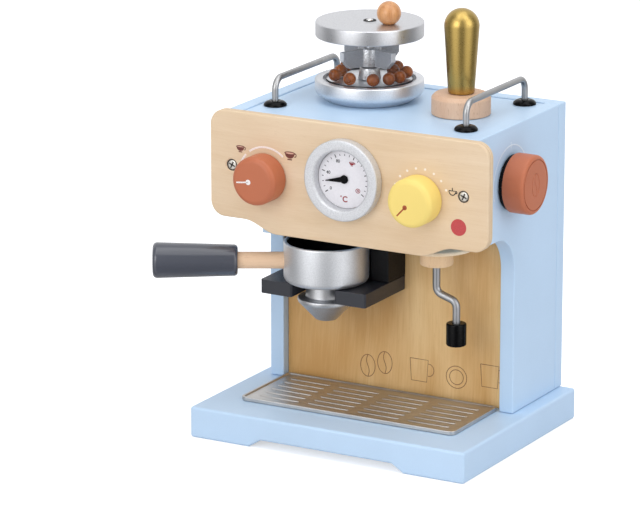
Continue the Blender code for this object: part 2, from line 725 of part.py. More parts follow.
def build_front_knobs(machine, panel):
    hole_radius = KNOB_SCREW_SHANK_RADIUS + SEAT_GAP
    head_front = -PANEL_THICKNESS - SEAT_GAP
    for label, x, finish in (
        ("brew_knob", BREW_KNOB_X, "terracotta_paint"),
        ("steam_knob", STEAM_KNOB_X, "yellow_paint"),
    ):
        place = (x, PANEL_FRONT, BODY_TOP - KNOB_DROP)
        axis = add_empty(label + "_axis", machine, place, FACING_FRONT)
        profile = knob_profile(
            KNOB_RADIUS, RUNNING_GAP, RUNNING_GAP + KNOB_DEPTH, KNOB_FRONT_FILLET, hole_radius,
        )
        turned(label, profile, LARGE_SIDES, finish, axis, (0, 0, 0))
        screw = screw_profile(
            head_front - KNOB_SCREW_HEAD_HEIGHT, head_front, RUNNING_GAP + KNOB_SCREW_SEAT - SEAT_GAP,
        )
        turned(label + "_screw", screw, TINY_SIDES, "steel", axis, (0, 0, 0))
        drill(
            panel, label + "_hole", hole_radius, PANEL_THICKNESS + 2 * CUT_OVERRUN, machine,
            (x, PANEL_BACK + CUT_OVERRUN, place[2]), FACING_FRONT,
        )


def build_side_knob(machine, side):
    hole_radius = KNOB_SCREW_SHANK_RADIUS + SEAT_GAP
    place = (BODY_WIDTH / 2, BODY_FRONT + SIDE_KNOB_SETBACK, BODY_TOP - SIDE_KNOB_DROP)
    axis = add_empty("side_knob_axis", machine, place, FACING_RIGHT)
    washer_front = RUNNING_GAP + SIDE_WASHER_THICKNESS
    washer = (
        (hole_radius, RUNNING_GAP), (SIDE_WASHER_RADIUS, RUNNING_GAP),
        (SIDE_WASHER_RADIUS, washer_front), (hole_radius, washer_front),
    )
    turned("side_knob_washer", washer, LARGE_SIDES, "black_plastic", axis, (0, 0, 0))
    back = washer_front + SEAT_GAP
    front = back + SIDE_KNOB_DEPTH
    ring_outer = SIDE_KNOB_RING_RADIUS + SIDE_KNOB_RING_WIDTH / 2
    ring_inner = SIDE_KNOB_RING_RADIUS - SIDE_KNOB_RING_WIDTH / 2
    ring_floor = front - SIDE_KNOB_RING_DEPTH
    ring = ((ring_outer, front), (ring_outer, ring_floor), (ring_inner, ring_floor), (ring_inner, front))
    profile = knob_profile(
        SIDE_KNOB_RADIUS, back, front, min(SIDE_KNOB_FILLET, SIDE_KNOB_RADIUS - ring_outer),
        hole_radius, ring,
    )
    turned("side_knob", profile, LARGE_SIDES, "terracotta_paint", axis, (0, 0, 0))
    head_front = -BOARD_THICKNESS - SEAT_GAP
    screw = screw_profile(
        head_front - KNOB_SCREW_HEAD_HEIGHT, head_front, back + KNOB_SCREW_SEAT - SEAT_GAP,
    )
    turned("side_knob_screw", screw, TINY_SIDES, "steel", axis, (0, 0, 0))
    drill(
        side, "knob_hole", hole_radius, BOARD_THICKNESS + 2 * CUT_OVERRUN, machine,
        (INNER_WIDTH / 2 - CUT_OVERRUN, place[1], place[2]), FACING_RIGHT,
    )


def build_rails(machine, top):
    front_y = BODY_FRONT + RAIL_FRONT_SETBACK
    hole_radius = RAIL_ROD_RADIUS + SEAT_GAP
    path = rounded((
        (0, -RAIL_SEAT_DEPTH, 0),
        (0, RAIL_HEIGHT, RAIL_BEND_RADIUS),
        (RAIL_LENGTH, RAIL_HEIGHT, RAIL_BEND_RADIUS),
        (RAIL_LENGTH, -RAIL_SEAT_DEPTH, 0),
    ), closed=False)
    grommet = rounded((
        (hole_radius, SEAT_GAP, 0),
        (GROMMET_RADIUS, SEAT_GAP, 0),
        (GROMMET_RADIUS, GROMMET_EDGE_HEIGHT, 0),
        (GROMMET_RADIUS, GROMMET_HEIGHT, GROMMET_HEIGHT - GROMMET_EDGE_HEIGHT),
        (GROMMET_TOP_RADIUS, GROMMET_HEIGHT, 0),
        (hole_radius, GROMMET_HEIGHT, 0),
    ), steps=FILLET_STEPS)
    for side, sign in (("left", -1), ("right", 1)):
        x = sign * RAIL_X
        rod_path = [(0, y, z) for y, z in path]
        bent_rod("cup_rail_" + side, rod_path, RAIL_ROD_RADIUS, "steel", machine, (x, front_y, TOP_FACE))
        for end, y in (("front", front_y), ("rear", front_y + RAIL_LENGTH)):
            turned(
                "rail_grommet_" + side + "_" + end, grommet, SMALL_SIDES, "black_plastic", machine,
                (x, y, TOP_FACE),
            )
            drill(
                top, "rail_hole_" + side + "_" + end, hole_radius, BOARD_THICKNESS + 2 * CUT_OVERRUN,
                machine, (x, y, TOP_FACE - BOARD_THICKNESS - CUT_OVERRUN),
            )


def build_hopper(machine):
    centre = (HOPPER_OFFSET, HOPPER_Y, TOP_FACE + SEAT_GAP)
    groove_outer = TUBE_RADIUS + SEAT_GAP
    groove_inner = TUBE_RADIUS - TUBE_WALL - SEAT_GAP
    groove_floor = DISH_HEIGHT - TUBE_SEAT_DEPTH
    dish_floor = DISH_HEIGHT - DISH_FLOOR_DROP
    pivot_radius = SPINDLE_PIVOT_RADIUS + SEAT_GAP
    pivot_floor = dish_floor - SPINDLE_PIVOT_LENGTH - SEAT_GAP
    dish = rounded((
        (0, 0, 0),
        (DISH_RADIUS - DISH_FOOT_INSET, 0, 0),
        (DISH_RADIUS, DISH_CHAMFER_HEIGHT, DISH_CHAMFER_HEIGHT / 2),
        (DISH_RADIUS, DISH_HEIGHT, DISH_RIM_FILLET),
        (groove_outer, DISH_HEIGHT, 0),
        (groove_outer, groove_floor, 0),
        (groove_inner, groove_floor, 0),
        (groove_inner, dish_floor, 0),
        (pivot_radius, dish_floor, 0),
        (pivot_radius, pivot_floor, 0),
        (0, pivot_floor, 0),
    ), closed=False, steps=FILLET_STEPS)
    turned("hopper_dish", dish, LARGE_SIDES, "silver_paint", machine, centre)

    tube_bottom = groove_floor + SEAT_GAP
    tube_top = DISH_HEIGHT + TUBE_SHOWN_HEIGHT
    tube = (
        (TUBE_RADIUS - TUBE_WALL, tube_bottom), (TUBE_RADIUS, tube_bottom),
        (TUBE_RADIUS, tube_top), (TUBE_RADIUS - TUBE_WALL, tube_top),
    )
    turned("hopper_tube", tube, LARGE_SIDES, "clear_acrylic", machine, centre)

    axis = add_empty("grinder_axis", machine, centre)
    lid_bottom = tube_top + SEAT_GAP
    lid_top = lid_bottom + LID_THICKNESS
    lid_radius = TUBE_RADIUS + LID_OVERHANG
    bore = LID_SCREW_SHANK_RADIUS + SEAT_GAP
    lid = rounded((
        (bore, lid_bottom, 0),
        (lid_radius, lid_bottom, LID_FILLET),
        (lid_radius, lid_top, LID_FILLET),
        (LID_COUNTERBORE_RADIUS, lid_top, 0),
        (LID_COUNTERBORE_RADIUS, lid_top - LID_COUNTERBORE_DEPTH, 0),
        (bore, lid_top - LID_COUNTERBORE_DEPTH, 0),
    ), steps=FILLET_STEPS)
    lid_piece = turned("hopper_lid", lid, LARGE_SIDES, "silver_paint", axis, (0, 0, 0))

    crank = math.radians(BALL_CRANK_DEGREES)
    ball_place = (BALL_CRANK_RADIUS * math.cos(crank), BALL_CRANK_RADIUS * math.sin(crank), lid_top)
    drill(
        lid_piece, "peg_hole", BALL_PEG_RADIUS + SEAT_GAP, BALL_PEG_LENGTH + SEAT_GAP + CUT_OVERRUN, axis,
        (ball_place[0], ball_place[1], lid_top - BALL_PEG_LENGTH - SEAT_GAP),
    )
    ball_centre = SEAT_GAP + BALL_RADIUS - BALL_FLAT_DROP
    flat_degrees = math.degrees(math.asin(1 - BALL_FLAT_DROP / BALL_RADIUS))
    ball = arc((0, ball_centre), BALL_RADIUS, -flat_degrees, 90, steps=2 * CORNER_STEPS)[:-1]
    peg = (
        (0, -BALL_PEG_LENGTH), (BALL_PEG_RADIUS, -BALL_PEG_LENGTH), (BALL_PEG_RADIUS, SEAT_GAP),
    )
    turned(
        "lid_ball_knob", [*peg, *ball, (0, ball_centre + BALL_RADIUS)], SMALL_SIDES + 2, "beech", axis,
        ball_place,
    )

    screw_seat = lid_top - LID_COUNTERBORE_DEPTH + SEAT_GAP
    screw_end = lid_bottom - LID_SCREW_SEAT
    screw = [
        (0, screw_end), (LID_SCREW_SHANK_RADIUS, screw_end), (LID_SCREW_SHANK_RADIUS, screw_seat),
        (LID_SCREW_RADIUS, screw_seat),
    ]
    for step in range(1, CORNER_STEPS + 1):
        angle = math.radians(90 * step / CORNER_STEPS)
        height = screw_seat + LID_COUNTERBORE_DEPTH / 3 + LID_SCREW_DOME * math.sin(angle)
        screw.append((LID_SCREW_RADIUS * math.cos(angle) if step < CORNER_STEPS else 0, height))
    turned("lid_screw", screw, TINY_SIDES, "steel", axis, (0, 0, 0))

    hub_bottom = dish_floor + SEAT_GAP
    hub_top = hub_bottom + SPINDLE_HUB_HEIGHT
    spindle_top = lid_bottom - SEAT_GAP
    screw_hole = LID_SCREW_SHANK_RADIUS + SEAT_GAP
    spindle = (
        (0, dish_floor - SPINDLE_PIVOT_LENGTH),
        (SPINDLE_PIVOT_RADIUS, dish_floor - SPINDLE_PIVOT_LENGTH),
        (SPINDLE_PIVOT_RADIUS, hub_bottom),
        (SPINDLE_HUB_RADIUS, hub_bottom),
        (SPINDLE_HUB_TOP_RADIUS, hub_top),
        (SPINDLE_RADIUS, hub_top),
        (SPINDLE_RADIUS, spindle_top),
        (screw_hole, spindle_top),
        (screw_hole, screw_end - SEAT_GAP),
        (0, screw_end - SEAT_GAP),
    )
    turned("stirrer_spindle", spindle, SMALL_SIDES, "silver_paint", axis, (0, 0, 0))
    build_paddles(axis, dish_floor + PADDLE_LIFT)
    build_beads(machine, centre, dish_floor)


def build_paddles(axis, bottom):
    """Two crossed blades round a sleeve, with their lower outer corners cut off."""
    reach = TUBE_RADIUS - TUBE_WALL - PADDLE_TUBE_GAP
    outline = (
        (-reach + PADDLE_CHAMFER, 0),
        (reach - PADDLE_CHAMFER, 0),
        (reach, PADDLE_CHAMFER),
        (reach, PADDLE_HEIGHT),
        (-reach, PADDLE_HEIGHT),
        (-reach, PADDLE_CHAMFER),
    )
    blades = []
    for name, extra_turn in (("stirrer_paddles", 0), ("stirrer_cross_blade", math.pi / 2)):
        angle = math.radians(PADDLE_REST_DEGREES) + extra_turn
        half = PADDLE_THICKNESS / 2
        place = (-half * math.sin(angle), half * math.cos(angle), bottom)
        finish = None if blades else "silver_paint"
        turn = (math.pi / 2, 0, angle)
        blades.append(extruded(name, outline, PADDLE_THICKNESS, finish, axis, place, turn))
    sleeve_profile = (
        (0, -SEAT_GAP), (PADDLE_SLEEVE_RADIUS, -SEAT_GAP),
        (PADDLE_SLEEVE_RADIUS, PADDLE_HEIGHT + SEAT_GAP), (0, PADDLE_HEIGHT + SEAT_GAP),
    )
    sleeve = turned("stirrer_sleeve", sleeve_profile, SMALL_SIDES, None, axis, (0, 0, bottom))
    combine(blades[0], blades[1], "UNION")
    combine(blades[0], sleeve, "UNION")
    drill(
        blades[0], "bore", SPINDLE_RADIUS + SEAT_GAP, PADDLE_HEIGHT + 2 * CUT_OVERRUN, axis,
        (0, 0, bottom - CUT_OVERRUN), sides=SMALL_SIDES,
    )


def build_beads(machine, centre, dish_floor):
    ring_radius = TUBE_RADIUS - TUBE_WALL - BEAD_RADIUS - BEAD_WALL_GAP
    flanks = arc((0, 0), BEAD_RADIUS, -90, 90, steps=BEAD_BANDS)[1:-1]
    profile = [(0, -BEAD_RADIUS), *flanks, (0, BEAD_RADIUS)]
    for number, (degrees, share) in enumerate(BEAD_PLACE_SHARES, start=1):
        angle = math.radians(degrees)
        place = (
            centre[0] + ring_radius * share * math.cos(angle),
            centre[1] + ring_radius * share * math.sin(angle),
            centre[2] + dish_floor + SEAT_GAP + BEAD_RADIUS,
        )
        turned("bean_bead_%02d" % number, profile, BEAD_SIDES, "bean_paint", machine, place)


def build_tamper(machine):
    axis = add_empty("tamper_axis", machine, (TAMPER_OFFSET, TAMPER_Y, TOP_FACE + SEAT_GAP))
    peg_hole = TAMPER_PEG_RADIUS + SEAT_GAP
    hole_floor = TAMPER_FOOT_HEIGHT - TAMPER_PEG_LENGTH - SEAT_GAP
    foot = rounded((
        (0, 0, 0),
        (TAMPER_FOOT_RADIUS, 0, TAMPER_FOOT_EDGE),
        (TAMPER_FOOT_RADIUS, TAMPER_FOOT_HEIGHT - TAMPER_FOOT_CHAMFER, 0),
        (TAMPER_FOOT_RADIUS - TAMPER_FOOT_CHAMFER, TAMPER_FOOT_HEIGHT, 0),
        (peg_hole, TAMPER_FOOT_HEIGHT, 0),
        (peg_hole, hole_floor, 0),
        (0, hole_floor, 0),
    ), closed=False, steps=FILLET_STEPS)
    turned("tamper_foot", foot, LARGE_SIDES, "beech", axis, (0, 0, 0))

    bottom = TAMPER_FOOT_HEIGHT + SEAT_GAP
    crown = bottom + TAMPER_HANDLE_HEIGHT - TAMPER_HANDLE_RADIUS
    lower = rounded((
        (TAMPER_PEG_RADIUS, bottom, 0),
        (TAMPER_NECK_RADIUS, bottom, TAMPER_NECK_FILLET),
        (TAMPER_HANDLE_RADIUS, crown, 0),
    ), closed=False, steps=FILLET_STEPS)[:-1]
    dome = arc((0, crown), TAMPER_HANDLE_RADIUS, 0, 90, steps=2 * CORNER_STEPS)[:-1]
    peg_end = bottom - TAMPER_PEG_LENGTH
    handle = [
        (0, peg_end), (TAMPER_PEG_RADIUS, peg_end), *lower, *dome, (0, crown + TAMPER_HANDLE_RADIUS),
    ]
    turned("tamper_handle", handle, MEDIUM_SIDES, "gold_paint", axis, (0, 0, 0))


def build_group(machine):
    centre_y = (GROUP_FRONT + GROUP_BACK) / 2
    board = extruded(
        "group_board", box_outline(GROUP_WIDTH, GROUP_DEPTH), GROUP_BOARD_THICKNESS, "blue_paint", machine,
        (GROUP_OFFSET, centre_y, GROUP_BOARD_BOTTOM),
    )
    soften(board, GROUP_EDGE)

    block_front = GROUP_BACK - GROUP_BLOCK_DEPTH
    block = extruded(
        "group_block", box_outline(GROUP_WIDTH, GROUP_BLOCK_DEPTH), GROUP_BLOCK_HEIGHT, "black_paint",
        machine, (GROUP_OFFSET, (block_front + GROUP_BACK) / 2, FORK_TOP + SEAT_GAP),
    )
    soften(block, GROUP_EDGE)
    drill(
        block, "hollow", HOLLOW_RADIUS, GROUP_BLOCK_HEIGHT + 2 * CUT_OVERRUN, machine,
        (GROUP_OFFSET, BASKET_Y, FORK_TOP - CUT_OVERRUN), sides=LARGE_SIDES,
    )

    half_width = GROUP_WIDTH / 2
    half_slot = FORK_SLOT_WIDTH / 2
    slot_end = arc((0, BASKET_Y), half_slot, 0, 180, steps=3 * CORNER_STEPS)
    prongs = rounded((
        (half_slot, BASKET_Y, 0),
        (half_slot, GROUP_FRONT, FORK_CORNER),
        (half_width, GROUP_FRONT, FORK_CORNER),
        (half_width, GROUP_BACK, FORK_CORNER),
        (-half_width, GROUP_BACK, FORK_CORNER),
        (-half_width, GROUP_FRONT, FORK_CORNER),
        (-half_slot, GROUP_FRONT, FORK_CORNER),
        (-half_slot, BASKET_Y, 0),
    ), closed=False, steps=FILLET_STEPS)
    outline = prongs[:-1] + list(reversed(slot_end))[:-1]
    fork = extruded(
        "group_fork", outline, FORK_THICKNESS, "black_paint", machine,
        (GROUP_OFFSET, 0, FORK_TOP - FORK_THICKNESS),
    )
    soften(fork, GROUP_EDGE)


def build_portafilter(machine):
    slider = add_empty("portafilter_slide_axis", machine, (GROUP_OFFSET, BASKET_Y, FORK_TOP))
    spout_top = -SEAT_GAP / 2
    rim = spout_top - SPOUT_NECK_LENGTH
    rim_bottom = rim - SPOUT_RIM_DROP - SPOUT_RIM_THICKNESS
    tip = rim_bottom - SPOUT_CONE_HEIGHT
    spout = rounded((
        (0, tip, 0),
        (SPOUT_TIP_RADIUS, tip, SPOUT_TIP_FILLET),
        (SPOUT_RIM_RADIUS, rim_bottom, SPOUT_RIM_THICKNESS / 2),
        (SPOUT_RIM_RADIUS, rim_bottom + SPOUT_RIM_THICKNESS, SPOUT_RIM_THICKNESS / 3),
        (SPOUT_NECK_RADIUS, rim, SPOUT_RIM_DROP),
        (SPOUT_NECK_RADIUS, spout_top, 0),
        (0, spout_top, 0),
    ), closed=False, steps=FILLET_STEPS)
    turned("portafilter_spout", spout, MEDIUM_SIDES, "silver_paint", slider, (0, 0, 0))

    turner = add_empty("portafilter_turn_axis", slider, (0, 0, 0))
    inner_radius = BASKET_RADIUS - BASKET_WALL
    basket = rounded((
        (0, SEAT_GAP, 0),
        (BASKET_RADIUS, SEAT_GAP, BASKET_BOTTOM_FILLET),
        (BASKET_RADIUS, BASKET_HEIGHT, BASKET_RIM_FILLET),
        (inner_radius, BASKET_HEIGHT, BASKET_RIM_FILLET),
        (inner_radius, BASKET_FLOOR, BASKET_INNER_FILLET),
        (0, BASKET_FLOOR, 0),
    ), closed=False, steps=FILLET_STEPS + 1)
    basket_piece = turned("portafilter_basket", basket, LARGE_SIDES, "silver_paint", turner, (0, 0, 0))

    axis_height = (SEAT_GAP + BASKET_HEIGHT) / 2
    sideways = (0, math.pi / 2, math.radians(HANDLE_REST_DEGREES))
    place = (0, 0, axis_height)
    dowel_start = inner_radius - DOWEL_INNER_END
    handle_start = BASKET_RADIUS + DOWEL_SHOWN
    handle_end = handle_start + HANDLE_LENGTH
    dowel_end = handle_start + DOWEL_SEAT - SEAT_GAP
    dowel = (
        (0, dowel_start), (DOWEL_RADIUS, dowel_start), (DOWEL_RADIUS, dowel_end), (0, dowel_end),
    )
    turned("portafilter_dowel", dowel, SMALL_SIDES, "beech", turner, place, sideways)

    bore = DOWEL_RADIUS + SEAT_GAP
    handle = rounded((
        (0, handle_start + DOWEL_SEAT, 0),
        (bore, handle_start + DOWEL_SEAT, 0),
        (bore, handle_start, 0),
        (HANDLE_NEAR_RADIUS, handle_start, HANDLE_FILLET),
        (HANDLE_FAR_RADIUS, handle_end, HANDLE_FILLET),
        (0, handle_end, 0),
    ), closed=False, steps=FILLET_STEPS)
    turned("portafilter_handle", handle, MEDIUM_SIDES, "charcoal_paint", turner, place, sideways)

    reach = math.radians(HANDLE_REST_DEGREES)
    hole_start = inner_radius / 2
    drill(
        basket_piece, "dowel_hole", bore, BASKET_RADIUS - hole_start + CUT_OVERRUN, turner,
        (hole_start * math.cos(reach), hole_start * math.sin(reach), axis_height), sideways,
        sides=SMALL_SIDES,
    )


def build_wand(machine, floor):
    place = (WAND_OFFSET, WAND_Y, HEAD_FLOOR)
    bore = WAND_ROD_RADIUS + RUNNING_GAP
    spacer_bottom = -SEAT_GAP - WAND_SPACER_HEIGHT
    disc_top = spacer_bottom - SEAT_GAP
    disc_bottom = disc_top - WAND_DISC_THICKNESS
    collar_top = disc_bottom - SEAT_GAP
    collar_bottom = collar_top - WAND_COLLAR_HEIGHT
    spacer = (
        (bore, spacer_bottom), (WAND_SPACER_RADIUS, spacer_bottom),
        (WAND_SPACER_RADIUS, -SEAT_GAP), (bore, -SEAT_GAP),
    )
    turned("wand_spacer", spacer, TINY_SIDES, "steel", machine, place)
    disc = rounded((
        (bore, disc_bottom, 0),
        (WAND_DISC_RADIUS, disc_bottom, WAND_DISC_FILLET),
        (WAND_DISC_RADIUS, disc_top, WAND_DISC_FILLET),
        (bore, disc_top, 0),
    ), steps=FILLET_STEPS)
    turned("wand_disc", disc, LARGE_SIDES, "beech", machine, place)
    collar = rounded((
        (bore, collar_bottom, 0),
        (WAND_COLLAR_RADIUS, collar_bottom, WAND_COLLAR_FILLET),
        (WAND_COLLAR_RADIUS, collar_top, 0),
        (bore, collar_top, 0),
    ), steps=FILLET_STEPS)
    turned("wand_collar", collar, MEDIUM_SIDES, "beech", machine, place)
    drill(
        floor, "wand_hole", bore, WAND_SEAT + SEAT_GAP + CUT_OVERRUN, machine,
        (WAND_OFFSET, WAND_Y, HEAD_FLOOR - CUT_OVERRUN),
    )

    axis = add_empty("steam_wand_axis", machine, place)
    kink = collar_bottom - WAND_UPPER_DROP
    kink_end = kink - WAND_KINK_DROP
    tip_top = kink_end - WAND_LOWER_DROP
    rod_end = tip_top - WAND_TIP_SEAT
    path = rounded((
        (0, WAND_SEAT, 0),
        (0, kink, WAND_BEND_RADIUS),
        (WAND_KINK_OFFSET, kink_end, WAND_BEND_RADIUS),
        (WAND_KINK_OFFSET, rod_end, 0),
    ), closed=False)
    bent_rod("steam_wand_rod", [(x, 0, z) for x, z in path], WAND_ROD_RADIUS, "steel", axis, (0, 0, 0))
    tip_bore = WAND_ROD_RADIUS + SEAT_GAP
    tip_bottom = tip_top - WAND_TIP_LENGTH
    tip = rounded((
        (0, tip_bottom, 0),
        (WAND_TIP_RADIUS, tip_bottom, WAND_TIP_FILLET),
        (WAND_TIP_RADIUS, tip_top, WAND_TIP_FILLET),
        (tip_bore, tip_top, 0),
        (tip_bore, rod_end - SEAT_GAP, 0),
        (0, rod_end - SEAT_GAP, 0),
    ), closed=False, steps=FILLET_STEPS)
    turned("steam_wand_tip", tip, SMALL_SIDES, "black_plastic", axis, (WAND_KINK_OFFSET, 0, 0))


def build_tray(machine):
    """Pressed steel tray: a raised rim, a sunk floor and rows of raised ribs."""
    width = INNER_WIDTH - 2 * TRAY_SIDE_MARGIN
    front = -BASE_DEPTH / 2 + TRAY_FRONT_MARGIN
    depth = INNER_PANEL_FRONT - TRAY_BACK_MARGIN - front
    bottom = BASE_HEIGHT + SEAT_GAP
    centre = (0, front + depth / 2, bottom)
    tray = extruded(
        "drip_tray", box_outline(width, depth, TRAY_CORNER), TRAY_HEIGHT, "tray_steel", machine, centre,
    )
    shape = bmesh.new()
    shape.from_mesh(tray.data)
    for thickness, drop in ((TRAY_RIM_WIDTH, 0), (TRAY_RIM_SLOPE, TRAY_POCKET_DEPTH)):
        shape.normal_update()
        upper = max(shape.faces, key=lambda face: face.normal.z * face.calc_area())
        bmesh.ops.inset_region(shape, faces=[upper], thickness=thickness, depth=-drop)
    shape.to_mesh(tray.data)
    shape.free()

    floor = TRAY_HEIGHT - TRAY_POCKET_DEPTH
    rib_root = floor / 2
    field = width - 2 * (TRAY_RIM_WIDTH + TRAY_RIM_SLOPE + TRAY_RIB_MARGIN)
    rib_length = (field - (TRAY_RIB_COLUMNS - 1) * TRAY_RIB_SPACING) / TRAY_RIB_COLUMNS
    row_pitch = (depth - 2 * (TRAY_RIM_WIDTH + TRAY_RIM_SLOPE)) / (TRAY_RIB_ROWS + 1)
    ribs = bmesh.new()
    for column in range(TRAY_RIB_COLUMNS):
        x = -field / 2 + rib_length / 2 + column * (rib_length + TRAY_RIB_SPACING)
        for row in range(TRAY_RIB_ROWS):
            y = row_pitch * (row - (TRAY_RIB_ROWS - 1) / 2)
            add_rib(ribs, x, y, rib_length, rib_root, floor + TRAY_RIB_HEIGHT)
    rib_piece = add_object("drip_tray_ribs", finish_mesh("drip_tray_ribs", ribs), None, machine, centre)
    combine(tray, rib_piece, "UNION")


def add_rib(shape, x, y, length, root, top):
    """One long rib with sloping sides, pointed at both ends like a pressed bead."""
    half_length = length / 2
    half_width = TRAY_RIB_WIDTH / 2
    foot = [
        shape.verts.new((x + dx, y + dy, root))
        for dx, dy in (
            (-half_length, 0), (-half_length + half_width, -half_width),
            (half_length - half_width, -half_width), (half_length, 0),
            (half_length - half_width, half_width), (-half_length + half_width, half_width),
        )
    ]
    ridge = [
        shape.verts.new((x - half_length + TRAY_RIB_WIDTH, y, top)),
        shape.verts.new((x + half_length - TRAY_RIB_WIDTH, y, top)),
    ]
    shape.faces.new(foot)
    shape.faces.new((foot[1], foot[2], ridge[1], ridge[0]))
    shape.faces.new((foot[4], foot[5], ridge[0], ridge[1]))
    for first, second, third in (
        (foot[0], foot[1], ridge[0]), (foot[5], foot[0], ridge[0]),
        (foot[2], foot[3], ridge[1]), (foot[3], foot[4], ridge[1]),
    ):
        shape.faces.new((first, second, third))


def centre_on_footprint(machine):
    """Move the machine so that the middle of its footprint, on the ground, is the origin."""
    bpy.context.view_layer.update()
    graph = bpy.context.evaluated_depsgraph_get()
    low = Vector((math.inf, math.inf))
    high = Vector((-math.inf, -math.inf))
    for piece in bpy.data.objects:
        if piece.type == "EMPTY" or piece.hide_render:
            continue
        shown = piece.evaluated_get(graph)
        mesh = shown.to_mesh()
        for vertex in mesh.vertices:
            place = shown.matrix_world @ vertex.co
            low = Vector((min(low.x, place.x), min(low.y, place.y)))
            high = Vector((max(high.x, place.x), max(high.y, place.y)))
        shown.to_mesh_clear()
    middle = (low + high) / 2
    machine.location = (-middle.x, -middle.y, 0)
    print("machine moved by", [round(value, 5) for value in machine.location])


clear_scene()
MATERIALS = make_finishes()
coffee_maker = add_empty("coffee_maker", None, (0, 0, 0))
build_base(coffee_maker)
side_boards, top_board, head_floor = build_body(coffee_maker)
front_panel = build_panel(coffee_maker, side_boards)
build_gauge(coffee_maker, front_panel)
build_front_knobs(coffee_maker, front_panel)
build_side_knob(coffee_maker, side_boards["side_board_right"])
build_rails(coffee_maker, top_board)
build_hopper(coffee_maker)
build_tamper(coffee_maker)
build_group(coffee_maker)
build_portafilter(coffee_maker)
build_wand(coffee_maker, head_floor)
build_tray(coffee_maker)
centre_on_footprint(coffee_maker)
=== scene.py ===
"""Toy coffee maker in painted wood, dressed piece by piece in the order it is put together."""
import math

import bmesh
import bpy
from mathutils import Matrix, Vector


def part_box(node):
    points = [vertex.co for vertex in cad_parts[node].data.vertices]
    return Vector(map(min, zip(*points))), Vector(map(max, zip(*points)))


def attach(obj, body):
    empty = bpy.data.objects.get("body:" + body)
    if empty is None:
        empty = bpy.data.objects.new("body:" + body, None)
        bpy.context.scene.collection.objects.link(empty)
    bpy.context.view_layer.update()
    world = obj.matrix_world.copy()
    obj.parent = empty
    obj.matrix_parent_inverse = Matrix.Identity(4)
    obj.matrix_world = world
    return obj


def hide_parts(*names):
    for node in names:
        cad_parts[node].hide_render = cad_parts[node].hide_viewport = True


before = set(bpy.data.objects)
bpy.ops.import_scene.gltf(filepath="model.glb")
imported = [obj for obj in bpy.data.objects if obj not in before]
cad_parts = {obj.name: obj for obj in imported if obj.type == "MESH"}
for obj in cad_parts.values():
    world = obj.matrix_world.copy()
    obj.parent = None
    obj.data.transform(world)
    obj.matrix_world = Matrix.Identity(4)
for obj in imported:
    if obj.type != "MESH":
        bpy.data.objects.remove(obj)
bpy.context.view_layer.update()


# The view: a long lens in front of the machine, a little to its right and above it. Its place is
# worked out from the middle of the base board, which is where the machine stands.
def foot_of(node):
    """The middle of the lower face of a node's box."""
    low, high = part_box(node)
    return Vector(((low.x + high.x) / 2, (low.y + high.y) / 2, low.z))


standing_place = foot_of("base_board")
turn_to_right = math.radians(29.3565)
look_down = math.radians(15.4443)
camera_distance = 3.2166
looked_at_height = 0.136375
looked_at_left = 0.050234
rightwards = Vector((math.cos(turn_to_right), math.sin(turn_to_right), 0))
backwards = Vector((
    math.sin(turn_to_right) * math.cos(look_down),
    -math.cos(turn_to_right) * math.cos(look_down),
    math.sin(look_down),
))
looked_at = standing_place + Vector((0, 0, looked_at_height)) - rightwards * looked_at_left
bpy.ops.object.camera_add(
    location=looked_at + backwards * camera_distance,
    rotation=(math.pi / 2 - look_down, 0, turn_to_right),
)
camera = bpy.context.active_object
camera.data.sensor_width = 36
camera.data.lens = 233.04
camera.data.clip_end = 100
bpy.context.scene.camera = camera
bpy.context.scene.view_settings.view_transform = "Standard"


# The studio: a white floor that keeps the shadow, a white room, a wide soft light overhead and
# two weaker ones, in front and on the right, as in a product photograph.
def srgb(red, green, blue):
    """A colour as it looks on a screen, 0 to 255, turned into the linear values of a socket."""
    def linear(value):
        value /= 255
        return value / 12.92 if value <= 0.04045 else ((value + 0.055) / 1.055) ** 2.4
    return linear(red), linear(green), linear(blue), 1


def add_node(tree, kind, **settings):
    """A new node with its settings."""
    node = tree.nodes.new(kind)
    for name, value in settings.items():
        setattr(node, name, value)
    return node


def add_range(tree, value, low, high, new_low, new_high):
    """Maps a value from one range to another and clamps it."""
    spread = add_node(tree, "ShaderNodeMapRange")
    for label, number in zip(("From Min", "From Max", "To Min", "To Max"), (low, high, new_low, new_high)):
        spread.inputs[label].default_value = number
    tree.links.new(value, spread.inputs["Value"])
    return spread.outputs["Result"]


def add_math(tree, operation, first, second):
    """A sum or the like of two values, each a socket or a number."""
    step = add_node(tree, "ShaderNodeMath", operation=operation)
    for socket, value in zip(step.inputs, (first, second)):
        if isinstance(value, (int, float)):
            socket.default_value = value
        else:
            tree.links.new(value, socket)
    return step.outputs[0]


room = bpy.data.worlds.new("white_room")
bpy.context.scene.world = room
room.use_nodes = True
room_tree = room.node_tree
room_tree.nodes.clear()
room_light = add_node(room_tree, "ShaderNodeBackground")
room_light.inputs["Color"].default_value = srgb(246, 249, 255)
room_light.inputs["Strength"].default_value = 0.62
room_white = add_node(room_tree, "ShaderNodeBackground")
room_white.inputs["Color"].default_value = (1, 1, 1, 1)
room_path = add_node(room_tree, "ShaderNodeLightPath")

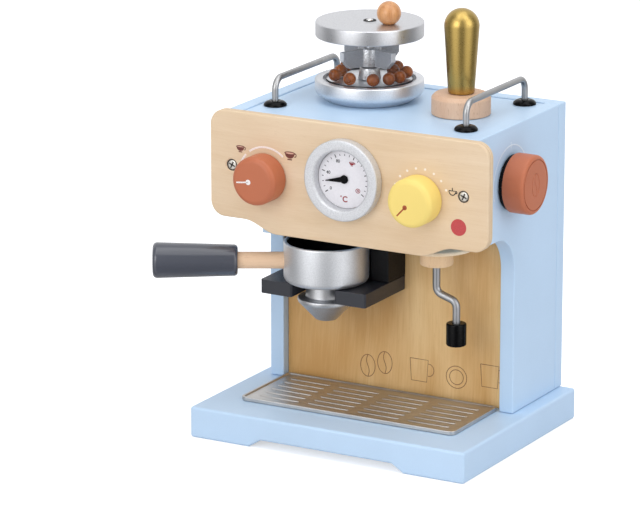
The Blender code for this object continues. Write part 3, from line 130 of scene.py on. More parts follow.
# What shiny pieces mirror: a bright tall screen on each side of the camera, a dim room between
# and beside them, and the white backdrop behind the machine.
room_view = add_node(room_tree, "ShaderNodeTexCoord").outputs["Generated"]
room_way = add_node(room_tree, "ShaderNodeVectorMath", operation="MULTIPLY")
room_way.inputs[1].default_value = (1, 1, 0)
room_tree.links.new(room_view, room_way.inputs[0])
room_level = add_node(room_tree, "ShaderNodeVectorMath", operation="NORMALIZE")
room_tree.links.new(room_way.outputs[0], room_level.inputs[0])
mirrored = 0.36
for degrees_right, from_degrees, to_degrees, brightness in (
    (-47, 33, 8, 1.34), (44, 33, 8, 1.42), (180, 78, 50, 0.68),
):
    azimuth = turn_to_right - math.pi / 2 + math.radians(degrees_right)
    towards = add_node(room_tree, "ShaderNodeVectorMath", operation="DOT_PRODUCT")
    towards.inputs[1].default_value = (math.cos(azimuth), math.sin(azimuth), 0)
    room_tree.links.new(room_level.outputs[0], towards.inputs[0])
    dim_edge, bright_edge = math.cos(math.radians(from_degrees)), math.cos(math.radians(to_degrees))
    screen = add_range(room_tree, towards.outputs["Value"], dim_edge, bright_edge, 0, brightness)
    mirrored = add_math(room_tree, "ADD", mirrored, screen)
room_height = add_node(room_tree, "ShaderNodeSeparateXYZ")
room_tree.links.new(room_view, room_height.inputs[0])
room_below = add_range(room_tree, room_height.outputs["Z"], -0.5, -0.05, 0.5, 1)
mirrored = add_math(room_tree, "MULTIPLY", mirrored, room_below)
room_brightness = add_node(room_tree, "ShaderNodeMix")
room_tree.links.new(room_path.outputs["Is Glossy Ray"], room_brightness.inputs[0])
room_brightness.inputs[2].default_value = 1
room_tree.links.new(mirrored, room_brightness.inputs[3])
room_tree.links.new(room_brightness.outputs[0], room_white.inputs["Strength"])
room_sight = add_math(
    room_tree, "MAXIMUM", room_path.outputs["Is Camera Ray"], room_path.outputs["Is Glossy Ray"],
)
room_sight = add_math(room_tree, "MAXIMUM", room_sight, room_path.outputs["Is Transmission Ray"])
room_mix = add_node(room_tree, "ShaderNodeMixShader")
room_out = add_node(room_tree, "ShaderNodeOutputWorld")
room_tree.links.new(room_sight, room_mix.inputs[0])
room_tree.links.new(room_light.outputs[0], room_mix.inputs[1])
room_tree.links.new(room_white.outputs[0], room_mix.inputs[2])
room_tree.links.new(room_mix.outputs[0], room_out.inputs["Surface"])

bpy.ops.object.select_all(action="DESELECT")
bpy.ops.mesh.primitive_plane_add(size=24, location=(0, 0, 0))
floor = bpy.context.active_object
floor.name = "studio_floor"
floor_white = bpy.data.materials.new("floor_white")
floor_white.use_nodes = True
floor_tree = floor_white.node_tree
floor_tree.nodes.clear()
floor_paint = add_node(floor_tree, "ShaderNodeBsdfDiffuse")
floor_paint.inputs["Color"].default_value = (0.82, 0.82, 0.83, 1)
floor_lift = add_node(floor_tree, "ShaderNodeEmission")
floor_lift.inputs["Color"].default_value = (1, 1, 1, 1)
floor_sum = add_node(floor_tree, "ShaderNodeAddShader")
floor_out = add_node(floor_tree, "ShaderNodeOutputMaterial")
floor_path = add_node(floor_tree, "ShaderNodeLightPath")
floor_sight = add_math(
    floor_tree, "MAXIMUM", floor_path.outputs["Is Camera Ray"], floor_path.outputs["Is Transmission Ray"],
)
floor_tree.links.new(add_math(floor_tree, "MULTIPLY", floor_sight, 0.56), floor_lift.inputs["Strength"])
floor_tree.links.new(floor_paint.outputs[0], floor_sum.inputs[0])
floor_tree.links.new(floor_lift.outputs[0], floor_sum.inputs[1])
floor_clear = add_node(floor_tree, "ShaderNodeBsdfTransparent")
floor_mix = add_node(floor_tree, "ShaderNodeMixShader")
floor_tree.links.new(floor_path.outputs["Is Glossy Ray"], floor_mix.inputs[0])
floor_tree.links.new(floor_sum.outputs[0], floor_mix.inputs[1])
floor_tree.links.new(floor_clear.outputs[0], floor_mix.inputs[2])
floor_tree.links.new(floor_mix.outputs[0], floor_out.inputs["Surface"])
floor.data.materials.append(floor_white)

lit_point = standing_place + Vector((0, 0, 0.15))
for light_name, light_place, light_size, light_power in (
    ("overhead_light", (0.35, -0.25, 2.3), 2.2, 22),
    ("front_light", (-0.25, -2.65, 1.15), 1.6, 20),
    ("side_light", (2.4, -0.3, 1.3), 1.6, 11),
):
    aim = (lit_point - Vector(light_place)).to_track_quat("-Z", "Y")
    bpy.ops.object.light_add(type="AREA", location=light_place, rotation=aim.to_euler())
    light = bpy.context.active_object
    light.name = light_name
    light.data.size = light_size
    light.data.energy = light_power


# Base board: one thick board of painted wood. A shallow channel is milled through its underside,
# which leaves a foot rail at each end, and all its edges are sanded round before painting.
def add_block(name, low, high):
    """A block between two corners, with its size and place in its mesh."""
    bpy.ops.object.select_all(action="DESELECT")
    bpy.ops.mesh.primitive_cube_add(size=1, location=(low + high) / 2)
    block = bpy.context.active_object
    block.name = block.data.name = name
    block.scale = high - low
    bpy.ops.object.transform_apply(location=True, rotation=True, scale=True)
    return block


def slice_at(piece, places, axis):
    """Runs a ring of edges round a piece at each place along an axis."""
    bpy.ops.object.mode_set(mode="EDIT")
    for place in places:
        bpy.ops.mesh.select_all(action="SELECT")
        bpy.ops.mesh.bisect(plane_co=Vector(axis) * place, plane_no=axis)
    bpy.ops.object.mode_set(mode="OBJECT")


def pick(piece, kind, test):
    """Opens a piece for editing, with the points, edges or faces selected that pass the test."""
    bpy.ops.object.mode_set(mode="EDIT")
    bpy.ops.mesh.select_mode(type=kind)
    bpy.ops.mesh.select_all(action="DESELECT")
    shape = bmesh.from_edit_mesh(piece.data)
    parts = {"VERT": shape.verts, "EDGE": shape.edges, "FACE": shape.faces}[kind]
    for part in parts:
        points = [part.co] if kind == "VERT" else [point.co for point in part.verts]
        if test(points):
            part.select_set(True)
    bmesh.update_edit_mesh(piece.data)


def hold(piece):
    """Leaves one piece selected and active, for the operators that follow."""
    bpy.ops.object.select_all(action="DESELECT")
    piece.select_set(True)
    bpy.context.view_layer.objects.active = piece


def apply_modifier(piece, kind, **settings):
    """Puts a modifier on a piece and applies it at once."""
    modifier = piece.modifiers.new(kind.lower(), kind)
    for name, value in settings.items():
        setattr(modifier, name, value)
    hold(piece)
    bpy.ops.object.modifier_apply(modifier=modifier.name)


def sand_edges(piece, radius, steps=3):
    """Rounds every sharp edge, and keeps the flat faces flat in the light."""
    apply_modifier(
        piece, "BEVEL", width=radius, segments=steps, limit_method="ANGLE",
        angle_limit=math.radians(35), use_clamp_overlap=True,
    )
    bpy.ops.object.shade_smooth_by_angle(angle=math.radians(40))
    apply_modifier(piece, "WEIGHTED_NORMAL", keep_sharp=True, weight=80)


def fit_piece(piece, body, slot, material, *nodes):
    """Paints a finished piece, fixes it to its body, and lets it stand for its CAD nodes."""
    piece.data.materials.clear()
    piece.data.materials.append(material)
    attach(piece, body)
    if nodes:
        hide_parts(*nodes)


def start_material(name, roughness, metallic=0.0):
    """A new material with its main shader and the object's own coordinates."""
    material = bpy.data.materials.new(name)
    material.use_nodes = True
    tree = material.node_tree
    shader = tree.nodes["Principled BSDF"]
    shader.inputs["Roughness"].default_value = roughness
    shader.inputs["Metallic"].default_value = metallic
    return material, tree, shader, add_node(tree, "ShaderNodeTexCoord").outputs["Object"]


def start_group(name, inputs, outputs):
    """A node group with named sockets; gives its tree and the nodes that hold the sockets."""
    group = bpy.data.node_groups.new(name, "ShaderNodeTree")
    for label, kind, value in inputs:
        socket = group.interface.new_socket(
            name=label, in_out="INPUT", socket_type="NodeSocket" + kind,
        )
        if kind != "Vector":
            socket.default_value = value
    for label, kind in outputs:
        group.interface.new_socket(name=label, in_out="OUTPUT", socket_type="NodeSocket" + kind)
    return group, add_node(group, "NodeGroupInput"), add_node(group, "NodeGroupOutput")


def place_group(tree, group, **values):
    """Puts a node group into a material with its own values."""
    node = add_node(tree, "ShaderNodeGroup", node_tree=group)
    for label, value in values.items():
        node.inputs[label.replace("_", " ")].default_value = value
    return node


def add_noise(tree, coordinates, scale, detail=2.0, rough=0.5):
    """Soft noise, from 0 to 1."""
    noise = add_node(tree, "ShaderNodeTexNoise")
    noise.inputs["Scale"].default_value = scale
    noise.inputs["Detail"].default_value = detail
    noise.inputs["Roughness"].default_value = rough
    tree.links.new(coordinates, noise.inputs["Vector"])
    return noise.outputs["Fac"]


def add_mix(tree, factor, first, second):
    """Mixes two colours, each a socket or a colour, by a factor."""
    mix = add_node(tree, "ShaderNodeMix", data_type="RGBA")
    for socket, value in zip((mix.inputs[0], mix.inputs[6], mix.inputs[7]), (factor, first, second)):
        if isinstance(value, (int, float, tuple)):
            socket.default_value = value
        else:
            tree.links.new(value, socket)
    return mix.outputs[2]


def add_bump(tree, shader, height, strength, distance):
    """Turns a height into the shader's normal."""
    bump = add_node(tree, "ShaderNodeBump")
    bump.inputs["Strength"].default_value = strength
    bump.inputs["Distance"].default_value = distance
    tree.links.new(height, bump.inputs["Height"])
    tree.links.new(bump.outputs[0], shader.inputs["Normal"])


def wire_group(tree, shader, finish, coordinates, skin, depth):
    """Feeds a placed group with coordinates, and the main shader with what the group puts out."""
    tree.links.new(coordinates, finish.inputs["Coordinates"])
    tree.links.new(finish.outputs["Color"], shader.inputs["Base Color"])
    tree.links.new(finish.outputs["Roughness"], shader.inputs["Roughness"])
    add_bump(tree, shader, finish.outputs["Height"], skin, depth)


# Sprayed paint on wood: broad faint clouds in the colour, a fine skin like orange peel, and a
# rubbed lighter line where a sanded edge carries less paint.
paint_group, paint_in, paint_out = start_group(
    "sprayed_paint",
    (("Coordinates", "Vector", None), ("Paint", "Color", (0.5, 0.5, 0.5, 1)),
     ("Rubbed", "Color", (0.8, 0.8, 0.8, 1)), ("Rubbing", "Float", 0.3), ("Shine", "Float", 0.4)),
    (("Color", "Color"), ("Roughness", "Float"), ("Height", "Float")),
)
paint_clouds = add_noise(paint_group, paint_in.outputs["Coordinates"], 14, 3)
paint_peel = add_noise(paint_group, paint_in.outputs["Coordinates"], 900, 2)
paint_dust = add_noise(paint_group, paint_in.outputs["Coordinates"], 2600, 1)
paint_shade = add_range(paint_group, paint_clouds, 0.3, 0.7, 0.965, 1.02)
paint_specks = add_range(paint_group, paint_dust, 0.25, 0.75, 0.975, 1.02)
paint_value = add_math(paint_group, "MULTIPLY", paint_shade, paint_specks)
paint_tone = add_node(paint_group, "ShaderNodeHueSaturation")
paint_group.links.new(paint_value, paint_tone.inputs["Value"])
paint_group.links.new(paint_in.outputs["Paint"], paint_tone.inputs["Color"])
paint_round = add_node(paint_group, "ShaderNodeBevel", samples=4)
paint_round.inputs["Radius"].default_value = 0.0011
paint_face = add_node(paint_group, "ShaderNodeNewGeometry")
paint_turn = add_node(paint_group, "ShaderNodeVectorMath", operation="DOT_PRODUCT")
paint_group.links.new(paint_round.outputs[0], paint_turn.inputs[0])
paint_group.links.new(paint_face.outputs["Normal"], paint_turn.inputs[1])
paint_edge = add_range(paint_group, paint_turn.outputs["Value"], 0.995, 0.86, 0, 1)
paint_blotches = add_noise(paint_group, paint_in.outputs["Coordinates"], 120, 3)
paint_patches = add_range(paint_group, paint_blotches, 0.35, 0.65, 0.35, 1)
paint_wear = add_math(paint_group, "MULTIPLY", paint_edge, paint_patches)
paint_wear = add_math(paint_group, "MULTIPLY", paint_wear, paint_in.outputs["Rubbing"])
paint_colour = add_mix(paint_group, paint_wear, paint_tone.outputs[0], paint_in.outputs["Rubbed"])
paint_group.links.new(paint_colour, paint_out.inputs["Color"])
paint_dull = add_range(paint_group, paint_peel, 0.3, 0.7, -0.04, 0.05)
paint_gloss = add_math(paint_group, "ADD", paint_in.outputs["Shine"], paint_dull)
paint_group.links.new(paint_gloss, paint_out.inputs["Roughness"])
paint_group.links.new(paint_peel, paint_out.inputs["Height"])


def painted(name, colour, rubbed, rubbing, roughness, skin=0.05):
    """Satin paint in one colour, from the sprayed paint group."""
    material, tree, shader, place = start_material(name, roughness)
    paint = place_group(tree, paint_group, Paint=colour, Rubbed=rubbed, Rubbing=rubbing, Shine=roughness)
    wire_group(tree, shader, paint, place, skin, 0.0004)
    return material


blue_paint = painted("blue_paint", srgb(195, 220, 244), srgb(220, 234, 249), 0.45, 0.42)
hair = 0.0001  # how near to a face or an edge a point lies when it belongs to it
base_corner = 0.0022
foot_rail_width = 0.052
channel_slope = 0.0105
channel_height = 0.0065
base_low, base_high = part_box("base_board")
base = add_block("base_wood", base_low, base_high)
channel_left = base_low.x + foot_rail_width + channel_slope
channel_right = base_high.x - foot_rail_width - channel_slope
slice_at(
    base, (channel_left - channel_slope, channel_left, channel_right, channel_right + channel_slope),
    (1, 0, 0),
)
pick(base, "VERT", lambda points: (
    points[0].z < base_low.z + hair and channel_left - hair < points[0].x < channel_right + hair
))
bpy.ops.transform.translate(value=(0, 0, channel_height))
bpy.ops.object.mode_set(mode="OBJECT")
apply_modifier(
    base, "BEVEL", width=base_corner, segments=5, limit_method="ANGLE", angle_limit=math.radians(60),
)
sand_edges(base, 0.0012, 2)
fit_piece(base, "machine", "blue_paint", blue_paint, "base_board")


# Side boards: each is one plank, head and leg in one, with a round cut where the leg meets the
# head. They stand on the base and are painted before the machine is put together.
def cut_away(piece, tool, **settings):
    """Takes the shape of a tool out of a piece, and clears the tool away."""
    apply_modifier(piece, "BOOLEAN", operation="DIFFERENCE", solver="EXACT", object=tool, **settings)
    bpy.data.objects.remove(tool)


board_edge = 0.0009
arch_radius = 0.030
leg_depth = 0.0856
head_height = 0.086
saw_room = 0.01
back_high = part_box("back_board")[1]
leg_front = back_high.y - leg_depth
head_floor = back_high.z - head_height
for side in ("left", "right"):
    low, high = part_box("side_board_" + side)
    plank = add_block("side_wood_" + side, low, high)
    cut = add_block(
        "leg_cut", low - Vector((saw_room, saw_room, saw_room)),
        Vector((high.x + saw_room, leg_front, head_floor)),
    )
    pick(cut, "EDGE", lambda points: all(
        abs(point.y - leg_front) < hair and abs(point.z - head_floor) < hair for point in points
    ))
    bpy.ops.mesh.bevel(offset=arch_radius, segments=20, profile=0.5)
    bpy.ops.object.mode_set(mode="OBJECT")
    cut_away(plank, cut)
    sand_edges(plank, board_edge)
    fit_piece(plank, "machine", "blue_paint", blue_paint, "side_board_" + side)


# Top and back boards: plain painted boards, the top let in between the sides and the back laid
# over their rear edges. Their joints stay visible as fine dark lines. The head's floor is hidden.
def paint_solid(node, paint):
    """Paints a CAD solid that is shown as it is."""
    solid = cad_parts[node]
    solid.data.materials.clear()
    solid.data.materials.append(paint)


for board in ("top", "back"):
    low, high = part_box(board + "_board")
    plank = add_block(board + "_wood", low, high)
    sand_edges(plank, board_edge)
    fit_piece(plank, "machine", "blue_paint", blue_paint, board + "_board")
paint_solid("head_floor_board", blue_paint)


# Wood with a clear varnish: fine fibres, broad darker figure and short pores, all drawn out
# along the grain. The grain runs along X in the coordinates that reach the group.
grain_group, grain_in, grain_out = start_group(
    "wood_grain",
    (("Coordinates", "Vector", None), ("Light", "Color", (0.8, 0.6, 0.4, 1)),
     ("Dark", "Color", (0.6, 0.4, 0.2, 1)), ("Pore", "Color", (0.4, 0.25, 0.1, 1)),
     ("Figure", "Float", 0.5), ("Pores", "Float", 0.3), ("Clouds", "Float", 0.3),
     ("Fibre Size", "Float", 1.0)),
    (("Color", "Color"), ("Roughness", "Float"), ("Height", "Float")),
)
grain_size = add_node(grain_group, "ShaderNodeVectorMath", operation="SCALE")
grain_group.links.new(grain_in.outputs["Coordinates"], grain_size.inputs[0])
grain_group.links.new(grain_in.outputs["Fibre Size"], grain_size.inputs["Scale"])


def stretched(tree, coordinates, stretch):
    """Coordinates drawn out along each axis."""
    drawn = add_node(tree, "ShaderNodeMapping")
    drawn.inputs["Scale"].default_value = stretch
    tree.links.new(coordinates, drawn.inputs["Vector"])
    return drawn.outputs["Vector"]


grain_base = grain_size.outputs[0]
grain_waver = add_node(grain_group, "ShaderNodeVectorMath", operation="MULTIPLY_ADD")
grain_drift = add_node(grain_group, "ShaderNodeTexNoise")
grain_drift.inputs["Scale"].default_value = 9
grain_drift.inputs["Detail"].default_value = 1
grain_group.links.new(grain_base, grain_drift.inputs["Vector"])
grain_group.links.new(grain_drift.outputs["Color"], grain_waver.inputs[0])
grain_waver.inputs[1].default_value = (0, 0.012, 0.012)
grain_group.links.new(grain_base, grain_waver.inputs[2])
grain_wavy = grain_waver.outputs[0]
grain_figure = add_noise(grain_group, stretched(grain_group, grain_wavy, (7, 95, 95)), 1, 4, 0.6)
grain_fibre = add_noise(grain_group, stretched(grain_group, grain_wavy, (38, 1500, 1500)), 1, 3, 0.6)
grain_clouds = add_noise(grain_group, stretched(grain_group, grain_base, (16, 40, 40)), 1, 2)
grain_pores = add_noise(grain_group, stretched(grain_group, grain_wavy, (260, 2300, 2300)), 1, 1, 0.4)
grain_bands = add_range(grain_group, grain_figure, 0.34, 0.70, 0, 1)
grain_bands = add_math(grain_group, "MULTIPLY", grain_bands, grain_in.outputs["Figure"])
grain_mottle = add_range(grain_group, grain_clouds, 0.35, 0.65, 0, 1)
grain_mottle = add_math(grain_group, "MULTIPLY", grain_mottle, grain_in.outputs["Clouds"])
grain_lines = add_range(grain_group, grain_fibre, 0.3, 0.7, -0.12, 0.16)
grain_tone = add_math(grain_group, "ADD", grain_bands, grain_mottle)
grain_tone = add_math(grain_group, "ADD", grain_tone, grain_lines)
grain_clamp = add_range(grain_group, grain_tone, 0, 1, 0, 1)
grain_wood = add_mix(grain_group, grain_clamp, grain_in.outputs["Light"], grain_in.outputs["Dark"])
grain_spot = add_range(grain_group, grain_pores, 0.64, 0.74, 0, 1)
grain_spot = add_math(grain_group, "MULTIPLY", grain_spot, grain_in.outputs["Pores"])
grain_colour = add_mix(grain_group, grain_spot, grain_wood, grain_in.outputs["Pore"])
grain_gloss = add_range(grain_group, grain_fibre, 0.3, 0.7, 0.48, 0.62)
grain_height = add_math(grain_group, "SUBTRACT", grain_fibre, grain_spot)
grain_group.links.new(grain_colour, grain_out.inputs["Color"])
grain_group.links.new(grain_gloss, grain_out.inputs["Roughness"])
grain_group.links.new(grain_height, grain_out.inputs["Height"])


def laid_along(tree, place, turn):
    """Coordinates turned so that their X axis lies along a piece's own grain."""
    laid = add_node(tree, "ShaderNodeMapping", vector_type="TEXTURE")
    laid.inputs["Rotation"].default_value = turn
    tree.links.new(place, laid.inputs["Vector"])
    return laid.outputs["Vector"]


def wooden(name, light, dark, pore, turn=(0, 0, 0), **values):
    """Varnished wood; turn lays the grain, which runs along X, in the piece's own direction."""
    material, tree, shader, place = start_material(name, 0.55)
    grain = place_group(tree, grain_group, Light=light, Dark=dark, Pore=pore, **values)
    wire_group(tree, shader, grain, laid_along(tree, place, turn), 0.12, 0.0003)
    return material


# Inner back panel: a thin sheet of plywood between the legs, darker and more mottled than the
# front, with the grain upright. It is let in between the sides under the head.
upright = (0, math.pi / 2, 0)
inner_ply = wooden(
    "inner_plywood", srgb(240, 203, 145), srgb(208, 159, 94), srgb(176, 124, 66), upright,
    Figure=0.4, Pores=0.12, Clouds=0.75, Fibre_Size=0.55,
)
paint_solid("inner_back_panel", inner_ply)


# Line prints on the inner back panel: beans, mugs and a biscuit in thin brown ink, laid on the
# wood a twentieth of a millimetre thick.
def add_curve(name, paths, closed, **settings):
    """A curve of straight stretches through points, turned into a mesh."""
    curve = bpy.data.curves.new(name, "CURVE")
    for label, value in settings.items():
        setattr(curve, label, value)
    for path in paths:
        spline = curve.splines.new("POLY")
        spline.points.add(len(path) - 1)
        for point, place in zip(spline.points, path):
            point.co = (*place, 1)
        spline.use_cyclic_u = closed
        spline.use_smooth = True
    piece = bpy.data.objects.new(name, curve)
    bpy.context.collection.objects.link(piece)
    hold(piece)
    bpy.ops.object.convert(target="MESH")
    return bpy.context.active_object


def add_rod(name, paths, radius, roundness=2):
    """Round rods along open paths, with closed ends."""
    return add_curve(
        name, paths, False, dimensions="3D", bevel_depth=radius, bevel_resolution=roundness,
        use_fill_caps=True,
    )


def lay_at(piece, place, turn=(0, 0, 0)):
    """Turns a piece and moves it to its place, and writes both into its mesh."""
    hold(piece)
    piece.rotation_euler = turn
    piece.location = place
    bpy.ops.object.transform_apply(location=True, rotation=True, scale=True)


ink_thickness = 0.00006


def lay_ink(ink, place, turn):
    """Presses a drawing, made in the XY plane, flat and lays it on a face."""
    ink.scale.z = 2 * ink_thickness / max(ink.dimensions.z, 0.00001)
    lay_at(ink, (0, 0, 0))
    lay_at(ink, place, turn)


def ring_of(centre, width, height, start=0, end=360, steps=28):
    """Points of an ellipse, or of a part of it, in the XY plane."""
    return [
        Vector((
            centre[0] + width / 2 * math.cos(math.radians(start + (end - start) * step / steps)),
            centre[1] + height / 2 * math.sin(math.radians(start + (end - start) * step / steps)),
            0,
        ))
        for step in range(steps + 1)
    ]


def ink_material(name, colour, roughness=0.45):
    """Printed ink, a little uneven in how well it covers."""
    material, tree, shader, place = start_material(name, roughness)
    cover = add_range(tree, add_noise(tree, place, 1400, 2), 0.3, 0.7, 0.86, 1.08)
    tone = add_node(tree, "ShaderNodeHueSaturation")
    tone.inputs["Color"].default_value = colour
    tree.links.new(cover, tone.inputs["Value"])
    tree.links.new(tone.outputs[0], shader.inputs["Base Color"])
    return material


def joined(name, pieces):
    """Several pieces made into one, with a new name."""
    bpy.ops.object.select_all(action="DESELECT")
    for piece in pieces:
        piece.select_set(True)
    bpy.context.view_layer.objects.active = pieces[0]
    bpy.ops.object.join()
    whole = bpy.context.active_object
    whole.name = whole.data.name = name
    return whole


def flat_path(*corners):
    """A path in the XY plane."""
    return [Vector((x, y, 0)) for x, y in corners]


def bean_lines(width, length, crease_length, sway, steps):
    """A bean's rim and the waved crease along its middle, in the XY plane."""
    crease = flat_path(*(
        (sway * math.sin(2 * math.pi * step / steps), crease_length * (step / steps - 0.5))
        for step in range(steps + 1)
    ))
    return [ring_of((0, 0), width, length), crease]


facing_front = (math.pi / 2, 0, 0)
brown_ink = ink_material("brown_ink", srgb(140, 92, 54))
inner_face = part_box("inner_back_panel")[0].y
bean = bean_lines(0.013, 0.018, 0.018, 0.0012, 12)
mug = [
    flat_path((-0.008, 0.009), (-0.0068, -0.009), (0.0068, -0.009), (0.008, 0.009), (-0.008, 0.009)),
    ring_of((0.0086, 0.001), 0.009, 0.010, -100, 100),
]
biscuit = [ring_of((0, 0), 0.018, 0.018), ring_of((0, 0), 0.012, 0.012)]
inner_prints = []
for drawing, x, z in (
    (bean, -0.0237, 0.0430), (bean, -0.0085, 0.0475), (mug, 0.0220, 0.0460),
    (biscuit, 0.0550, 0.0450), (mug, 0.0840, 0.0500),
):
    outline = add_rod("inner_print", drawing, 0.0003)
    lay_ink(outline, (standing_place.x + x, inner_face, z), facing_front)
    inner_prints.append(outline)
fit_piece(joined("inner_panel_prints", inner_prints), "machine", "plywood", brown_ink)


# Front panel: plywood with a pale veneer face, grain from side to side. Its lower edge swells
# down in the middle between two S curves, and its edges are routed round and show the layers.
def middle_of(node):
    """The middle of a node's box."""
    return Vector([(first + last) / 2 for first, last in zip(*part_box(node))])


def main_shader(material):
    """The shader that a material's other nodes feed."""
    return material.node_tree.nodes["Principled BSDF"]


panel_low, panel_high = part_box("front_panel")
panel_middle = (panel_low.x + panel_high.x) / 2
panel_half = (panel_high.x - panel_low.x) / 2
panel_corner = 0.012
shoulder_rise = 0.0089
shoulder_width = 0.0296
curve_width = 0.029
curve_steps = 18
curve_outside = panel_half - shoulder_width
panel = add_block("panel_plywood", panel_low, panel_high)
slice_at(panel, [
    panel_middle + sign * (curve_outside - curve_width * step / curve_steps)
    for sign in (-1, 1) for step in range(curve_steps + 1)
], (1, 0, 0))
bpy.ops.object.mode_set(mode="EDIT")
panel_shape = bmesh.from_edit_mesh(panel.data)
for point in panel_shape.verts:
    if point.co.z < panel_low.z + hair:
        inside = min(max((curve_outside - abs(point.co.x - panel_middle)) / curve_width, 0), 1)
        point.co.z += shoulder_rise * (1 + math.cos(math.pi * inside)) / 2
bmesh.update_edit_mesh(panel.data)
bpy.ops.object.mode_set(mode="OBJECT")
pick(panel, "EDGE", lambda points: all(
    abs(abs(point.x - panel_middle) - panel_half) < hair for point in points
) and abs(points[0].z - points[1].z) < hair)
bpy.ops.mesh.bevel(offset=panel_corner, segments=14, profile=0.5)
bpy.ops.object.mode_set(mode="OBJECT")
screw_radius = 0.004
recess_radius = screw_radius + 0.0006
recess_depth = 0.0027
for side in ("left", "right"):
    middle = middle_of("panel_screw_" + side)
    bpy.ops.object.select_all(action="DESELECT")
    bpy.ops.mesh.primitive_cylinder_add(
        vertices=40, radius=recess_radius, depth=2 * recess_depth, rotation=facing_front,
        location=(middle.x, panel_low.y, middle.z),
    )
    cut_away(panel, bpy.context.active_object)
sand_edges(panel, 0.0011, 4)

front_ply = wooden(
    "front_plywood", srgb(236, 212, 181), srgb(222, 192, 154), srgb(204, 170, 130),
    Figure=0.55, Pores=0.18, Clouds=0.35, Fibre_Size=0.8,
)
layer_pitch = 0.0027
ply_tree = front_ply.node_tree
ply_colour = main_shader(front_ply).inputs["Base Color"]
ply_veneer = ply_colour.links[0].from_socket
ply_place = add_node(ply_tree, "ShaderNodeTexCoord").outputs["Object"]
ply_split = add_node(ply_tree, "ShaderNodeSeparateXYZ")
ply_tree.links.new(ply_place, ply_split.inputs[0])
ply_phase = add_math(ply_tree, "MULTIPLY", ply_split.outputs["Y"], 2 * math.pi / layer_pitch)
ply_wave = add_range(ply_tree, add_math(ply_tree, "SINE", ply_phase, 0), -0.25, 0.25, 0, 1)
ply_face = add_node(ply_tree, "ShaderNodeNewGeometry")
ply_normal = add_node(ply_tree, "ShaderNodeSeparateXYZ")
ply_tree.links.new(ply_face.outputs["Normal"], ply_normal.inputs[0])
ply_frontal = add_math(ply_tree, "ABSOLUTE", ply_normal.outputs["Y"], 0)
ply_side = add_range(ply_tree, ply_frontal, 0.25, 0.1, 0, 1)
ply_speck = add_range(ply_tree, add_noise(ply_tree, ply_place, 900, 3), 0.3, 0.7, 0.35, 0.8)
ply_dark = add_math(ply_tree, "MULTIPLY", add_math(ply_tree, "MULTIPLY", ply_wave, ply_side), ply_speck)
ply_tree.links.new(add_mix(ply_tree, ply_dark, ply_veneer, srgb(206, 176, 136)), ply_colour)
fit_piece(panel, "machine", "plywood", front_ply, "front_panel")
panel_face = panel_low.y


# Panel screws: round-headed steel screws with a cross slot, sunk in drilled recesses, that hold
# the front panel to the edges of the side boards.
def add_turned(name, profile, place=(0, 0, 0), turn=(0, 0, 0), sides=64, fillet_steps=6):
    """A lathe piece from (radius, height, fillet) corners about Z, then laid at its place."""
    bpy.ops.object.select_all(action="DESELECT")
    bpy.ops.mesh.primitive_plane_add(size=0.001)
    piece = bpy.context.active_object
    piece.name = piece.data.name = name
    bpy.ops.object.mode_set(mode="EDIT")
    bpy.ops.mesh.select_mode(type="VERT")
    bpy.ops.mesh.select_all(action="SELECT")
    bpy.ops.mesh.merge(type="CENTER")
    bpy.ops.transform.translate(value=(profile[0][0], 0, profile[0][1]))
    for (radius, height, _), (next_radius, next_height, _) in zip(profile, profile[1:]):
        bpy.ops.mesh.extrude_region_move(
            TRANSFORM_OT_translate={"value": (next_radius - radius, 0, next_height - height)},
        )
    ends = [Vector((radius, 0, height)) for radius, height, _ in (profile[0], profile[-1])]
    if profile[0][0] > 0 and (ends[0] - ends[1]).length > 0.000001:
        bpy.ops.object.mode_set(mode="OBJECT")
        pick(piece, "VERT", lambda points: min((points[0] - end).length for end in ends) < 0.000001)
        bpy.ops.mesh.edge_face_add()
    bpy.ops.object.mode_set(mode="OBJECT")
    for radius, height, fillet in profile:
        if fillet:
            corner = Vector((radius, 0, height))
            pick(piece, "VERT", lambda points: (points[0] - corner).length < 0.000001)
            bpy.ops.mesh.bevel(
                affect="VERTICES", offset_type="OFFSET", offset=fillet, segments=fillet_steps,
            )
            bpy.ops.object.mode_set(mode="OBJECT")
    bpy.ops.object.mode_set(mode="EDIT")
    bpy.ops.mesh.select_all(action="SELECT")
    bpy.ops.mesh.spin(steps=sides, angle=2 * math.pi, center=(0, 0, 0), axis=(0, 0, 1))
    bpy.ops.mesh.select_all(action="SELECT")
    bpy.ops.mesh.remove_doubles(threshold=0.000001)
    bpy.ops.mesh.normals_make_consistent(inside=False)
    bpy.ops.object.mode_set(mode="OBJECT")
    lay_at(piece, place, turn)
    bpy.ops.object.shade_smooth_by_angle(angle=math.radians(32))
    return piece


# Bare steel: fine rubbed scratches that change the roughness, and a faint brown tint in places.
# They run along the X axis of the coordinates that reach the group.
steel_group, steel_in, steel_out = start_group(
    "rubbed_metal",
    (("Coordinates", "Vector", None), ("Metal", "Color", (0.6, 0.6, 0.6, 1)), ("Shine", "Float", 0.25),
     ("Scratches", "Float", 0.1)),
    (("Color", "Color"), ("Roughness", "Float"), ("Height", "Float")),
)
steel_drawn = stretched(steel_group, steel_in.outputs["Coordinates"], (60, 900, 900))
steel_fine = add_noise(steel_group, steel_drawn, 1, 3, 0.6)
steel_broad = add_noise(steel_group, steel_in.outputs["Coordinates"], 60, 2)
steel_tone = add_node(steel_group, "ShaderNodeHueSaturation")
steel_group.links.new(steel_in.outputs["Metal"], steel_tone.inputs["Color"])
steel_group.links.new(add_range(steel_group, steel_broad, 0.3, 0.7, 0.92, 1.05), steel_tone.inputs["Value"])
steel_group.links.new(steel_tone.outputs[0], steel_out.inputs["Color"])
steel_rough = add_range(steel_group, steel_fine, 0.3, 0.7, -1, 1)
